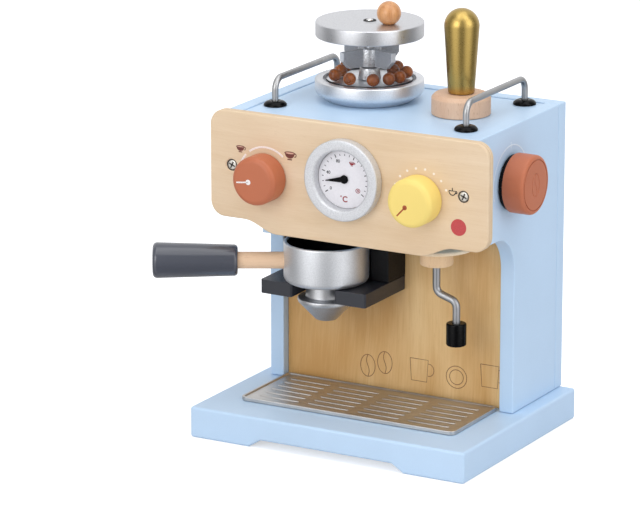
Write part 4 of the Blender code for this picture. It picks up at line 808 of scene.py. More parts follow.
steel_rough = add_math(steel_group, "MULTIPLY", steel_rough, steel_in.outputs["Scratches"])
steel_rough = add_math(steel_group, "ADD", steel_rough, steel_in.outputs["Shine"])
steel_group.links.new(steel_rough, steel_out.inputs["Roughness"])
steel_group.links.new(steel_fine, steel_out.inputs["Height"])


def metal(name, colour, roughness, scratches, turn=(0, 0, 0), skin=0.03):
    """Bare metal, rubbed in the direction that turn gives."""
    material, tree, shader, place = start_material(name, roughness, 1.0)
    rub = place_group(tree, steel_group, Metal=colour, Shine=roughness, Scratches=scratches)
    wire_group(tree, shader, rub, laid_along(tree, place, turn), skin, 0.0002)
    return material


screw_steel = metal("screw_steel", srgb(206, 203, 197), 0.4, 0.06)
# A grey lining in each recess and grey bars in the cross slots are painted shade in the hollows round and
# in the screw heads.
recess_shade_grey = ink_material("recess_shade_grey", srgb(86, 80, 74), 0.7)
head_low, head_high, head_round = -0.0024, -0.0006, 0.0011
slot_length, slot_width, slot_turn = 0.0056, 0.0013, math.radians(24)
shade_low, shade_high = -0.0026, -0.0008
shade_bore = screw_radius + 0.00005
for side in ("left", "right"):
    middle = middle_of("panel_screw_" + side)
    place = (middle.x, panel_face, middle.z)
    head = add_turned(
        "screw_head_" + side,
        ((0, head_low, 0), (screw_radius, head_low, 0), (screw_radius, head_high, head_round),
         (0, head_high, 0)),
        place, facing_front, 40,
    )
    shades = [add_turned(
        "recess_shade",
        ((0, shade_low, 0), (recess_radius, shade_low, 0), (recess_radius, shade_high, 0),
         (shade_bore, shade_high, 0), (shade_bore, shade_low + 0.0001, 0), (0, shade_low + 0.0001, 0)),
        place, facing_front, 40,
    )]
    for width, height in ((slot_length, slot_width), (slot_width, slot_length)):
        slot_cut = add_block(
            "slot_cut", Vector((-width / 2, -0.001, -height / 2)), Vector((width / 2, 0.0017, height / 2)),
        )
        lay_at(slot_cut, place, (0, slot_turn, 0))
        apply_modifier(head, "BOOLEAN", operation="DIFFERENCE", solver="EXACT", object=slot_cut)
        lay_at(slot_cut, (0, 0.0018, 0))
        shades.append(slot_cut)
    fit_piece(head, "machine", "steel", screw_steel, "panel_screw_" + side)
    fit_piece(joined("screw_shade_" + side, shades), "machine", "black_paint", recess_shade_grey)

# Gauge: a turned wooden ring sprayed silver round a white dial, with a black pointer on a pin.
# The ring and the dial are glued to the panel.
gauge_middle = Vector((standing_place.x - 0.0011, panel_face, panel_high.z - 0.0412))
glue_gap = 0.0003
ring_bore, ring_radius, ring_front = 0.023, 0.0316, 0.009
dial_radius, dial_front = 0.0227, 0.0018

# Silver spray paint: metal flakes that glitter in points of light and dark, over a fine skin
# that the wood beneath keeps a little rough.
flake_group, flake_in, flake_out = start_group(
    "flake_paint",
    (("Coordinates", "Vector", None), ("Metal", "Color", (0.6, 0.6, 0.6, 1)), ("Glitter", "Float", 0.3),
     ("Shine", "Float", 0.4), ("Flakes", "Float", 1700.0)),
    (("Color", "Color"), ("Roughness", "Float"), ("Height", "Float")),
)
flake_cells = add_node(flake_group, "ShaderNodeTexVoronoi", feature="F1")
flake_group.links.new(flake_in.outputs["Flakes"], flake_cells.inputs["Scale"])
flake_group.links.new(flake_in.outputs["Coordinates"], flake_cells.inputs["Vector"])
flake_grey = add_node(flake_group, "ShaderNodeSeparateColor")
flake_group.links.new(flake_cells.outputs["Color"], flake_grey.inputs[0])
flake_drift = add_noise(flake_group, flake_in.outputs["Coordinates"], 1100, 2)
flake_drift = add_range(flake_group, flake_drift, 0.3, 0.7, -0.5, 0.5)
flake_points = add_math(flake_group, "SUBTRACT", flake_grey.outputs[0], 0.5)
flake_points = add_math(flake_group, "ADD", flake_points, flake_drift)
flake_value = add_math(flake_group, "MULTIPLY", flake_points, flake_in.outputs["Glitter"])
flake_value = add_math(flake_group, "ADD", flake_value, 1.0)
flake_tone = add_node(flake_group, "ShaderNodeHueSaturation")
flake_group.links.new(flake_in.outputs["Metal"], flake_tone.inputs["Color"])
flake_group.links.new(flake_value, flake_tone.inputs["Value"])
flake_group.links.new(flake_tone.outputs[0], flake_out.inputs["Color"])
flake_rough = add_math(flake_group, "MULTIPLY", flake_points, -0.12)
flake_rough = add_math(flake_group, "ADD", flake_rough, flake_in.outputs["Shine"])
flake_group.links.new(flake_rough, flake_out.inputs["Roughness"])
flake_group.links.new(flake_grey.outputs[1], flake_out.inputs["Height"])


def flaked(name, colour, roughness, glitter, metallic, skin, fineness=1700.0):
    """Metallic spray paint, from the flake group."""
    material, tree, shader, place = start_material(name, roughness, metallic)
    flakes = place_group(
        tree, flake_group, Metal=colour, Glitter=glitter, Shine=roughness, Flakes=fineness,
    )
    wire_group(tree, shader, flakes, place, skin, 0.00012)
    return material


ring_silver = flaked("ring_silver", srgb(212, 213, 216), 0.5, 0.14, 0.5, 0.08)
ring = add_turned(
    "gauge_ring_wood",
    ((ring_bore, glue_gap, 0), (ring_radius, glue_gap, 0.0006), (ring_radius, ring_front, 0.0011),
     (ring_bore, ring_front, 0.0018)),
    gauge_middle, facing_front, 128, 8,
)
fit_piece(ring, "machine", "silver_paint", ring_silver, "gauge_ring")


def mottled(tree, coordinates, scale, dark, light, detail=2):
    """Two close shades in soft patches."""
    patches = add_range(tree, add_noise(tree, coordinates, scale, detail), 0.3, 0.7, 0, 1)
    return add_mix(tree, patches, dark, light)


dial_white, dial_tree, dial_shader, dial_place = start_material("dial_white", 0.5)
dial_tree.links.new(
    mottled(dial_tree, dial_place, 700, srgb(235, 232, 235), srgb(240, 237, 240)),
    dial_shader.inputs["Base Color"],
)
dial = add_turned(
    "gauge_dial_card",
    ((0, glue_gap, 0), (dial_radius, glue_gap, 0), (dial_radius, dial_front, 0.0002), (0, dial_front, 0)),
    gauge_middle, facing_front, 96, 2,
)
fit_piece(dial, "machine", "dial_white", dial_white, "gauge_dial")
dial_face = gauge_middle - Vector((0, dial_front, 0))


# Dial print: ticks and numbers in black, the cup, the swirl and the degree sign in red, printed
# on the card before it is glued in.
def add_patch(name, outlines):
    """Flat filled shapes in the XY plane, as thin as ink."""
    return add_curve(name, outlines, True, dimensions="2D", fill_mode="BOTH", extrude=ink_thickness / 2)


def around(degrees, radius):
    """A point in the XY plane, at an angle and a distance from the middle."""
    angle = math.radians(degrees)
    return Vector((radius * math.cos(angle), radius * math.sin(angle), 0))


def add_words(text, height, middle, weight):
    """Letters in the XY plane about a middle point, as a thin mesh."""
    bpy.ops.object.select_all(action="DESELECT")
    bpy.ops.object.text_add(location=(0, 0, 0))
    words = bpy.context.active_object
    words.data.body = text
    words.data.size = height / 0.72
    words.data.align_x = "CENTER"
    words.data.align_y = "CENTER"
    words.data.extrude = ink_thickness / 2
    words.data.offset = weight
    bpy.ops.object.convert(target="MESH")
    words = bpy.context.active_object
    lay_at(words, middle)
    return words


def add_cup(name, middle, size, line):
    """A small cup seen from the side: a full bowl on a foot, with thin lines for rim and handle."""
    def at(x, y):
        return Vector((middle[0] + x * size, middle[1] + y * size, 0))
    bowl = [
        at(0.46 * math.cos(math.pi * step / 12), 0.04 - 0.42 * math.sin(math.pi * step / 12))
        for step in range(13)
    ]
    foot = [at(-0.22, -0.52), at(0.22, -0.52), at(0.22, -0.41), at(-0.22, -0.41)]
    rim = ring_of(at(0, 0.07), 0.94 * size, 0.22 * size)
    handle = ring_of(at(0.48, -0.06), 0.26 * size, 0.3 * size, -110, 110, 8)
    return joined(name, [add_patch(name, [bowl, foot]), add_rod(name, [rim, handle], line)])


black_ink = ink_material("black_ink", srgb(18, 18, 22))
red_ink = ink_material("red_ink", srgb(150, 38, 48))
tick_radius, number_radius = 0.0190, 0.0146
short_ticks, long_ticks = [], []
for number in range(21):
    degrees = 215 - 12.5 * number
    marks, reach = (long_ticks, 0.0013) if number % 4 == 0 else (short_ticks, 0.00075)
    marks.append([around(degrees, tick_radius - reach), around(degrees, tick_radius + reach)])
black_marks = [add_rod("dial_ticks", short_ticks, 0.00026), add_rod("dial_ticks", long_ticks, 0.00036)]
for text, degrees, radius in (
    ("0", 215, number_radius), ("40", 165, number_radius), ("80", 113, number_radius + 0.0001),
):
    black_marks.append(add_words(text, 0.0025, around(degrees, radius), 0.00006))
swirl_middle = around(-34, 0.0139)
red_marks = [
    add_cup("dial_cup", around(65, 0.0147), 0.0046, 0.00024),
    add_rod("dial_steam", [
        ring_of(swirl_middle, 0.0036, 0.0032), ring_of(swirl_middle, 0.0012, 0.0012),
    ], 0.0003),
    add_rod("degree_ring", [ring_of((-0.0030, -0.0137), 0.0010, 0.0010)], 0.00022),
    add_words("C", 0.0046, (0.0004, -0.0158, 0), 0.00016),
]
for part in black_marks + red_marks:
    lay_ink(part, dial_face, facing_front)
fit_piece(joined("dial_black_print", black_marks), "machine", "black_paint", black_ink)
fit_piece(joined("dial_red_print", red_marks), "machine", "terracotta_paint", red_ink)

# Pointer: a black plastic hand that tapers from a round hub to a point. It is pressed on a pin
# that turns in the middle of the dial.
hand_black, hand_tree, hand_shader, hand_place = start_material("hand_black", 0.4)
hand_tree.links.new(
    mottled(hand_tree, hand_place, 300, srgb(6, 6, 7), srgb(14, 14, 15)), hand_shader.inputs["Base Color"],
)
hand_shader.inputs["Specular IOR Level"].default_value = 0.08
pin_radius, pin_end = 0.0012, -0.0100
hub_radius, hub_low, hub_high = 0.0033, 0.0021, 0.0039
hand_length, hand_width, hand_thickness = 0.0165, 0.005, 0.001
hub = add_turned(
    "pointer_hub",
    ((0, pin_end, 0), (pin_radius, pin_end, 0), (pin_radius, hub_low, 0), (hub_radius, hub_low, 0.0003),
     (hub_radius, hub_high, 0.0009), (0, hub_high, 0)),
    sides=40,
)
hand = add_block(
    "pointer_hand", Vector((0, -hand_width / 2, hub_low)),
    Vector((hand_length, hand_width / 2, hub_low + hand_thickness)),
)
pick(hand, "VERT", lambda points: points[0].x > hand_length / 2)
bpy.ops.transform.resize(value=(1, 0.1, 1), center_override=(0, 0, 0))
bpy.ops.object.mode_set(mode="OBJECT")
sand_edges(hand, 0.0002, 2)
pointer = joined("pointer_with_hub", [hub, hand])
lay_at(pointer, (0, 0, 0), (0, 0, math.radians(189)))
lay_at(pointer, gauge_middle, facing_front)
fit_piece(pointer, "gauge_needle", "black_plastic", hand_black, "gauge_pointer")


# Brew and steam knobs: turned wooden knobs with a soft front edge, painted and printed with a
# dot and a line, each on a screw that is put in from behind the panel.
def disc_profile(radius, low, high):
    """The corners of a plain disc or plug for the lathe."""
    return (0, low, 0), (radius, low, 0), (radius, high, 0), (0, high, 0)


def ink_spot(name, radius, place, sides):
    """A round spot of ink on a face that looks to the front."""
    return add_turned(name, disc_profile(radius, 0, ink_thickness), place, facing_front, sides)


terracotta = painted("terracotta_paint", srgb(192, 109, 73), srgb(210, 136, 104), 0.3, 0.46, 0.04)
yellow = painted("yellow_paint", srgb(249, 221, 124), srgb(255, 238, 162), 0.3, 0.5, 0.04)
knob_ink_white = ink_material("knob_ink_white", srgb(248, 240, 236))
knob_ink_brown = ink_material("knob_ink_brown", srgb(170, 78, 34))
knob_radius = 0.019
knob_front = 0.0191
knob_gap = 0.0005
knob_height = panel_high.z - 0.0487
line_radius = 0.0006
for label, body, x, paint, paint_slot, ink, ink_slot, dot_reach, dot_radius, line_reach, degrees in (
    ("brew", "brew_control", panel_low.x + 0.0485, terracotta, "terracotta_paint",
     knob_ink_white, "dial_white", 0.0038, 0.0021, 0.0149, 187),
    ("steam", "steam_control", panel_high.x - 0.0578, yellow, "yellow_paint",
     knob_ink_brown, "terracotta_paint", 0.0042, 0.0019, 0.0146, 227),
):
    knob_middle = Vector((x, panel_face, knob_height))
    knob = add_turned(
        label + "_knob_wood",
        ((0, knob_gap, 0), (knob_radius, knob_gap, 0.0008), (knob_radius, knob_front, 0.0045),
         (0, knob_front, 0)),
        knob_middle, facing_front, 96, 10,
    )
    fit_piece(knob, body, paint_slot, paint, label + "_knob")
    face = knob_middle - Vector((0, knob_front, 0))
    dot_place = around(degrees, dot_reach)
    dot = ink_spot("knob_dot", dot_radius, face + Vector((dot_place.x, 0, dot_place.y)), 32)
    line_end = around(degrees, line_reach - line_radius)
    line = add_rod("knob_line", [[dot_place, line_end]], line_radius, 3)
    lay_ink(line, face, facing_front)
    fit_piece(joined(label + "_knob_print", [dot, line]), body, ink_slot, ink)
    paint_solid(label + "_knob_screw", screw_steel)


# Panel print: a white arc and two cups round the brew knob, a row of dots and a cup with steam
# by the steam knob, and a red spot for the lamp, all printed on the veneer.
def arc_about(middle, radius, start, end, steps=24):
    """Points of a circular arc in the XY plane."""
    return [middle + around(start + (end - start) * step / steps, radius) for step in range(steps + 1)]


print_radius = 0.0235
brew_middle = Vector((panel_low.x + 0.0491 - standing_place.x, knob_height, 0))
steam_middle = Vector((panel_high.x - 0.0572 - standing_place.x, knob_height, 0))
panel_origin = Vector((standing_place.x, panel_face, 0))
small_cup = Vector((-0.0937, 0.2281, 0))
large_cup = Vector((-0.0500, 0.2281, 0))
steam_cup = Vector((0.0902, 0.2168, 0))
lamp_place = Vector((0.0957, 0, 0.1892))
cream_ink = ink_material("cream_ink", srgb(255, 243, 236))
cup_ink = ink_material("cup_ink", srgb(112, 52, 42))
lamp_ink = ink_material("lamp_ink", srgb(195, 68, 70))
coffee_ink = ink_material("coffee_ink", srgb(222, 172, 150))
pale_marks = [add_rod("brew_arc", [
    arc_about(brew_middle, print_radius, 49, 127), arc_about(brew_middle, print_radius, 137, 155, 8),
], 0.0008, 3)]
lay_ink(pale_marks[0], panel_origin, facing_front)
for number in range(8):
    middle = steam_middle + around(158 - 19.2 * number, print_radius)
    pale_marks.append(ink_spot("steam_dot", 0.001, panel_origin + Vector((middle.x, 0, middle.y)), 16))
fit_piece(joined("panel_pale_print", pale_marks), "machine", "dial_white", cream_ink)
dark_marks = [
    add_cup("small_cup", small_cup, 0.0074, 0.00034), add_cup("large_cup", large_cup, 0.0092, 0.0004),
]
for part in dark_marks:
    lay_ink(part, panel_origin, facing_front)
fit_piece(joined("panel_cup_print", dark_marks), "machine", "terracotta_paint", cup_ink)
coffee = joined("panel_coffee_print", [
    add_patch("small_coffee", [ring_of(small_cup + Vector((0, 0.0006, 0)), 0.0054, 0.0007)]),
    add_patch("large_coffee", [ring_of(large_cup + Vector((0.0001, 0.0007, 0)), 0.0070, 0.0013)]),
])
lay_ink(coffee, panel_origin - Vector((0, 0.00004, 0)), facing_front)
fit_piece(coffee, "machine", "terracotta_paint", coffee_ink)
steam_marks = add_rod("panel_steam_print", [
    ring_of(steam_cup, 0.0058, 0.0066, 180, 360, 16) + [steam_cup - Vector((0.0029, 0, 0))],
    ring_of(steam_cup + Vector((0.0031, -0.0009, 0)), 0.0016, 0.0017, -110, 110, 8),
    [steam_cup, steam_cup + Vector((0, 0.0024, 0))],
], 0.0004)
lay_ink(steam_marks, panel_origin, facing_front)
fit_piece(steam_marks, "machine", "black_paint", black_ink)
lamp = ink_spot("panel_lamp_print", 0.0065, panel_origin + lamp_place, 64)
fit_piece(lamp, "machine", "terracotta_paint", lamp_ink)

# Grinder knob on the right side: a wide painted knob with a circle and a bean engraved in its
# face, in front of a black washer. A white circle with a tick is printed round it on the board.
facing_side = (0, math.pi / 2, 0)
facing_right = (math.pi / 2, 0, math.pi / 2)
side_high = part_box("side_board_right")[1]
side_middle = Vector((side_high.x, panel_high.y + glue_gap + 0.0533, side_high.z - 0.0437))
side_radius, side_back, side_front = 0.023, 0.0038, 0.0213
circle_outside, circle_inside, circle_floor = 0.0199, 0.0191, side_front - 0.0007
side_knob = add_turned(
    "side_knob_wood",
    ((0, side_back, 0), (side_radius, side_back, 0.0008), (side_radius, side_front, 0.0028),
     (circle_outside, side_front, 0.0002), (circle_outside, circle_floor, 0),
     (circle_inside, circle_floor, 0), (circle_inside, side_front, 0.0002), (0, side_front, 0)),
    side_middle, facing_side, 96, 8,
)
groove = add_rod("bean_groove", bean_lines(0.012, 0.018, 0.0176, 0.0016, 16), 0.0004)
lay_at(groove, side_middle + Vector((side_front, 0, 0)), facing_right)
cut_away(side_knob, groove, use_self=True)
bpy.ops.object.shade_smooth_by_angle(angle=math.radians(32))
fit_piece(side_knob, "side_control", "terracotta_paint", terracotta, "side_knob")
black_plastic, plastic_tree, plastic_shader, plastic_place = start_material("black_plastic", 0.16)
plastic_tree.links.new(
    mottled(plastic_tree, plastic_place, 200, srgb(5, 5, 6), srgb(14, 14, 15)),
    plastic_shader.inputs["Base Color"],
)
plastic_dull = add_range(
    plastic_tree, add_noise(plastic_tree, plastic_place, 900, 2), 0.3, 0.7, 0.12, 0.22,
)
plastic_tree.links.new(plastic_dull, plastic_shader.inputs["Roughness"])
plastic_shader.inputs["Specular IOR Level"].default_value = 0.1
washer_bore, washer_radius, washer_low, washer_high = 0.0024, 0.0215, 0.0005, 0.0035
washer = add_turned(
    "side_washer_disc",
    ((washer_bore, washer_low, 0), (washer_radius, washer_low, 0.0004),
     (washer_radius, washer_high, 0.0004), (washer_bore, washer_high, 0)),
    side_middle, facing_side, 96, 3,
)
fit_piece(washer, "side_control", "black_plastic", black_plastic, "side_knob_washer")
paint_solid("side_knob_screw", screw_steel)
white_ink = ink_material("white_ink", srgb(224, 240, 255))
side_print = add_rod("side_circle_print", [
    ring_of((0, 0), 0.0572, 0.0572, -20, 200, 48), [around(90, 0.0264), around(90, 0.0312)],
], 0.00055)
lay_ink(side_print, side_middle, facing_right)
fit_piece(side_print, "machine", "dial_white", white_ink)


# Cup rails: bent steel rods whose ends go down through the top board, each in a glossy black
# plastic grommet with a domed head.
def round_path(points, radius):
    """A path whose inner corners are turned into arcs of one radius."""
    steps = 12
    path = [Vector(points[0])]
    for before, corner, after in zip(points, points[1:], points[2:]):
        corner = Vector(corner)
        inwards = (Vector(before) - corner).normalized()
        onwards = (Vector(after) - corner).normalized()
        half = inwards.angle(onwards) / 2
        centre = corner + (inwards + onwards).normalized() * (radius / math.sin(half))
        start = corner + inwards * (radius / math.tan(half)) - centre
        end = corner + onwards * (radius / math.tan(half)) - centre
        path += [
            centre + start.slerp(end, step / steps).normalized() * radius for step in range(steps + 1)
        ]
    return path + [Vector(points[-1])]


top_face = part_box("top_board")[1].z
rail_bend = 0.009
rail_steel = metal("rail_steel", srgb(172, 172, 173), 0.4, 0.06, (0, 0, math.pi / 2), 0.015)
grommet_profile = (
    (0.0028, glue_gap, 0), (0.0091, glue_gap, 0.0004), (0.0091, 0.0014, 0.0005),
    (0.0076, 0.0033, 0.0013), (0.0043, 0.0043, 0.0010), (0.0036, 0.0040, 0), (0.0028, 0.0039, 0),
)
for side in ("left", "right"):
    low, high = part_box("cup_rail_" + side)
    x = (low.x + high.x) / 2
    rod_radius = (high.x - low.x) / 2
    front_y, rear_y, top_z = low.y + rod_radius, high.y - rod_radius, high.z - rod_radius
    rail = add_rod("rail_rod_" + side, [round_path((
        (x, front_y, low.z), (x, front_y, top_z), (x, rear_y, top_z), (x, rear_y, low.z),
    ), rail_bend)], rod_radius, 8)
    bpy.ops.object.shade_smooth_by_angle(angle=math.radians(50))
    fit_piece(rail, "machine", "steel", rail_steel, "cup_rail_" + side)
    for end, y in (("front", front_y), ("rear", rear_y)):
        corner = side + "_" + end
        grommet = add_turned("grommet_" + corner, grommet_profile, (x, y, top_face), (0, 0, 0), 56, 5)
        fit_piece(grommet, "machine", "black_plastic", black_plastic, "rail_grommet_" + corner)

# Hopper: a turned dish sprayed silver with a groove that holds a clear acrylic tube, and a
# silver lid, which a round-headed screw holds on the spindle below, in a black ring of painted shade.
hopper_middle = foot_of("hopper_dish")
tube_bore, tube_radius, tube_top = 0.034, 0.036, 0.050
dish_foot, dish_radius, dish_waist, dish_height, dish_floor = 0.0331, 0.0426, 0.0065, 0.0168, 0.0158
ring_outside, ring_inside, ring_floor = tube_radius + glue_gap, tube_bore - glue_gap, 0.0133
bearing_radius, bearing_floor = 0.0023, 0.0115
silver_paint = flaked("silver_paint", srgb(222, 224, 228), 0.4, 0.1, 0.95, 0.07, 2400.0)
lid_silver = flaked("lid_silver", srgb(205, 206, 210), 0.36, 0.1, 0.95, 0.07, 2400.0)
dish = add_turned(
    "hopper_dish_wood",
    ((0, 0, 0), (dish_foot, 0, 0.0012), (dish_radius, dish_waist, 0.0022),
     (dish_radius, dish_height, 0.0012), (ring_outside, dish_height, 0.0004), (ring_outside, ring_floor, 0),
     (ring_inside, ring_floor, 0), (ring_inside, dish_floor, 0.0003), (bearing_radius, dish_floor, 0),
     (bearing_radius, bearing_floor, 0), (0, bearing_floor, 0)),
    hopper_middle, (0, 0, 0), 128, 6,
)
fit_piece(dish, "machine", "silver_paint", silver_paint, "hopper_dish")

acrylic, acrylic_tree, acrylic_shader, acrylic_place = start_material("clear_acrylic", 0.06)
acrylic_tree.links.new(
    mottled(acrylic_tree, acrylic_place, 60, srgb(248, 248, 253), srgb(254, 254, 255)),
    acrylic_shader.inputs["Base Color"],
)
# The tube's white shows little face on and more at grazing edges: a painted sheen for the light the clear
# acrylic reflects at its edges.
acrylic_edge = add_node(acrylic_tree, "ShaderNodeLayerWeight")
acrylic_edge.inputs["Blend"].default_value = 0.25
acrylic_sheen_alpha = add_range(acrylic_tree, acrylic_edge.outputs["Facing"], 0.4, 1.0, 0.01, 0.28)
acrylic_tree.links.new(acrylic_sheen_alpha, acrylic_shader.inputs["Alpha"])
tube_low = ring_floor + glue_gap
tube = add_turned(
    "hopper_tube_clear",
    ((tube_bore, tube_low, 0), (tube_radius, tube_low, 0), (tube_radius, tube_top, 0.0003),
     (tube_bore, tube_top, 0.0003)),
    hopper_middle, (0, 0, 0), 128, 3,
)
fit_piece(tube, "machine", "clear_acrylic", acrylic, "hopper_tube")
# A thin dark ring where the tube stands in the groove: a painted shadow line at the tube's foot.
groove_shadow = ink_material("groove_shadow", srgb(58, 60, 66), 0.3)
shadow_width, shadow_top = 0.0003, 0.0171
tube_foot_shadow = add_turned(
    "hopper_tube_foot",
    ((tube_bore, dish_floor, 0), (tube_bore + shadow_width, dish_floor, 0),
     (tube_bore + shadow_width, shadow_top, 0), (tube_bore, shadow_top, 0)),
    hopper_middle, sides=128,
)
fit_piece(tube_foot_shadow, "machine", "black_paint", groove_shadow)

lid_bore, lid_radius, lid_bottom, lid_top = 0.002, 0.0423, 0.0503, 0.0621
seat_radius, seat_floor = 0.005, lid_top - 0.0018
lid = add_turned(
    "hopper_lid_wood",
    ((lid_bore, lid_bottom, 0), (lid_radius, lid_bottom, 0.0008), (lid_radius, lid_top, 0.0011),
     (seat_radius, lid_top, 0.0003), (seat_radius, seat_floor, 0), (lid_bore, seat_floor, 0)),
    hopper_middle, (0, 0, 0), 128, 6,
)
fit_piece(lid, "grinder", "silver_paint", lid_silver, "hopper_lid")
dome_steel = metal("dome_steel", srgb(226, 226, 226), 0.2, 0.03)
shank_radius, shank_end, dome_low, dome_high = 0.0017, 0.0423, lid_top + 0.0002, lid_top + 0.0013
lid_screw = add_turned(
    "lid_screw_dome",
    ((0, shank_end, 0), (shank_radius, shank_end, 0), (shank_radius, dome_low, 0), (0.0027, dome_low, 0),
     (0.0026, dome_low + 0.0005, 0.0004), (0.0014, dome_high, 0.0008), (0, dome_high, 0)),
    hopper_middle, (0, 0, 0), 40, 4,
)
fit_piece(lid_screw, "grinder", "steel", dome_steel, "lid_screw")
# A black ring shaped like a washer fills the screw's recess in the lid: painted shade in that recess round
# the bright dome.
recess_shade_black = ink_material("recess_shade_black", srgb(30, 29, 29), 0.7)
shade_ring_bore, shade_ring_low, shade_ring_high = 0.0018, lid_top - 0.0017, lid_top + 0.0001
lid_shade_ring = add_turned(
    "lid_screw_shade_ring",
    ((shade_ring_bore, shade_ring_low, 0), (0.0049, shade_ring_low, 0), (0.0050, lid_top + 0.0006, 0.0005),
     (0.0034, shade_ring_high, 0.0003), (shade_ring_bore, shade_ring_high, 0)),
    hopper_middle, (0, 0, 0), 48, 4,
)
fit_piece(lid_shade_ring, "grinder", "black_paint", recess_shade_black)


# Ball knob: a small beech ball with a clear varnish, flat below and pegged into the lid near
# its rim. The lid is turned with it.
def varnish(material, weight, roughness):
    """Puts a clear coat over a material."""
    shader = main_shader(material)
    shader.inputs["Coat Weight"].default_value = weight
    shader.inputs["Coat Roughness"].default_value = roughness


ball_wood = wooden(
    "ball_beech", srgb(232, 172, 112), srgb(186, 118, 62), srgb(140, 84, 42), (0, math.pi / 2, 0.5),
    Figure=0.9, Pores=0.5, Clouds=0.35, Fibre_Size=1.1,
)
varnish(ball_wood, 0.7, 0.2)
ball_radius = 0.0094
peg_inset = 0.0018
ball_low, ball_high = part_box("lid_ball_knob")
ball_middle = middle_of("lid_ball_knob")
ball_middle.z = ball_high.z - ball_radius
bpy.ops.object.select_all(action="DESELECT")
bpy.ops.mesh.primitive_uv_sphere_add(segments=56, ring_count=32, radius=ball_radius, location=ball_middle)
ball = bpy.context.active_object
ball.name = "ball_knob_wood"
bpy.ops.object.transform_apply(location=True, rotation=True, scale=True)
flat_height = hopper_middle.z + lid_top + glue_gap
bpy.ops.object.mode_set(mode="EDIT")
bpy.ops.mesh.select_all(action="SELECT")
bpy.ops.mesh.bisect(plane_co=(0, 0, flat_height), plane_no=(0, 0, 1), use_fill=True, clear_inner=True)
bpy.ops.object.mode_set(mode="OBJECT")
pick(ball, "FACE", lambda points: len(points) > 8)
bpy.ops.mesh.inset(thickness=peg_inset)
bpy.ops.mesh.extrude_region_move(TRANSFORM_OT_translate={"value": (0, 0, ball_low.z - flat_height)})
bpy.ops.object.mode_set(mode="OBJECT")
bpy.ops.object.shade_smooth_by_angle(angle=math.radians(40))
fit_piece(ball, "grinder", "beech", ball_wood, "lid_ball_knob")

# Spindle and paddles: a silver spindle with a flared foot, and two crossed grey blades with cut
# corners, glued to a silver sleeve that is pushed over it.
spindle_silver = flaked("spindle_silver", srgb(198, 200, 204), 0.4, 0.55, 0.9, 0.3)
pivot_radius, pivot_low = 0.002, bearing_floor + glue_gap
flare_low, flare_high = dish_floor + glue_gap, 0.0256
spindle_radius, spindle_top = 0.004, 0.0500
spindle = add_turned(
    "spindle_wood",
    ((0, pivot_low, 0), (pivot_radius, pivot_low, 0), (pivot_radius, flare_low, 0),
     (0.009, flare_low, 0.0005), (0.0075, flare_high, 0.0012), (spindle_radius, flare_high, 0.0008),
     (spindle_radius, spindle_top, 0), (0, spindle_top, 0)),
    hopper_middle, (0, 0, 0), 48, 4,
)
fit_piece(spindle, "grinder", "silver_paint", spindle_silver, "stirrer_spindle")

paddle_reach, paddle_thickness, paddle_chamfer = 0.0285, 0.0042, 0.0068
paddle_grey, paddle_tree, paddle_shader, paddle_place = start_material("paddle_grey", 0.4)
paddle_across = add_node(paddle_tree, "ShaderNodeMapping")
paddle_across.inputs["Location"].default_value = (-hopper_middle.x, -hopper_middle.y, 0)
paddle_across.inputs["Scale"].default_value = (1, 1, 0)
paddle_tree.links.new(paddle_place, paddle_across.inputs["Vector"])
paddle_out = add_node(paddle_tree, "ShaderNodeVectorMath", operation="LENGTH")
paddle_tree.links.new(paddle_across.outputs["Vector"], paddle_out.inputs[0])
# The blade ends are painted lighter where they catch more light near the tube, and the rubbed edges are
# turned up to paint highlights along the blade edges.
paddle_ends_painted_light = add_range(
    paddle_tree, paddle_out.outputs["Value"], paddle_reach - 0.0008, paddle_reach - 0.0002, 0, 0.8,
)
paddle_body = mottled(paddle_tree, paddle_place, 1500, srgb(148, 152, 159), srgb(176, 180, 187), 3)
paddle_colour = add_mix(paddle_tree, paddle_ends_painted_light, paddle_body, srgb(226, 228, 232))
paddle_paint_and_highlights = place_group(paddle_tree, paint_group, Rubbed=srgb(214, 217, 222), Rubbing=0.9, Shine=0.4)
paddle_tree.links.new(paddle_place, paddle_paint_and_highlights.inputs["Coordinates"])
paddle_tree.links.new(paddle_colour, paddle_paint_and_highlights.inputs["Paint"])
paddle_tree.links.new(paddle_paint_and_highlights.outputs["Color"], paddle_shader.inputs["Base Color"])
paddle_tree.links.new(paddle_paint_and_highlights.outputs["Roughness"], paddle_shader.inputs["Roughness"])

sleeve_bore, sleeve_radius = 0.0043, 0.0091
paddle_low, paddle_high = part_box("stirrer_paddles")
paddle_foot = Vector((hopper_middle.x, hopper_middle.y, paddle_low.z))
sleeve_height = paddle_high.z - paddle_low.z
blades = []
for turn in (69, 159):
    blade = add_block(
        "blade", Vector((-paddle_reach, -paddle_thickness / 2, glue_gap)),
        Vector((paddle_reach, paddle_thickness / 2, sleeve_height - glue_gap)),
    )
    bpy.ops.object.mode_set(mode="EDIT")
    for sign in (-1, 1):
        bpy.ops.mesh.select_all(action="SELECT")
        bpy.ops.mesh.bisect(
            plane_co=(sign * (paddle_reach - paddle_chamfer), 0, glue_gap), plane_no=(sign, 0, -1),
            use_fill=True, clear_outer=True,
        )
    bpy.ops.object.mode_set(mode="OBJECT")
    lay_at(blade, (0, 0, 0), (0, 0, math.radians(turn)))
    blades.append(blade)
paddles = blades[0]
apply_modifier(paddles, "BOOLEAN", operation="UNION", solver="EXACT", object=blades[1])
bpy.data.objects.remove(blades[1])
bore = add_turned("bore", disc_profile(sleeve_radius - 0.0003, -0.001, sleeve_height + 0.001), sides=40)
cut_away(paddles, bore)
sand_edges(paddles, 0.0004, 2)
paddles.name = "paddles_plastic"
lay_at(paddles, paddle_foot)
bpy.ops.object.shade_smooth_by_angle(angle=math.radians(30))
fit_piece(paddles, "grinder", "silver_paint", paddle_grey, "stirrer_paddles")
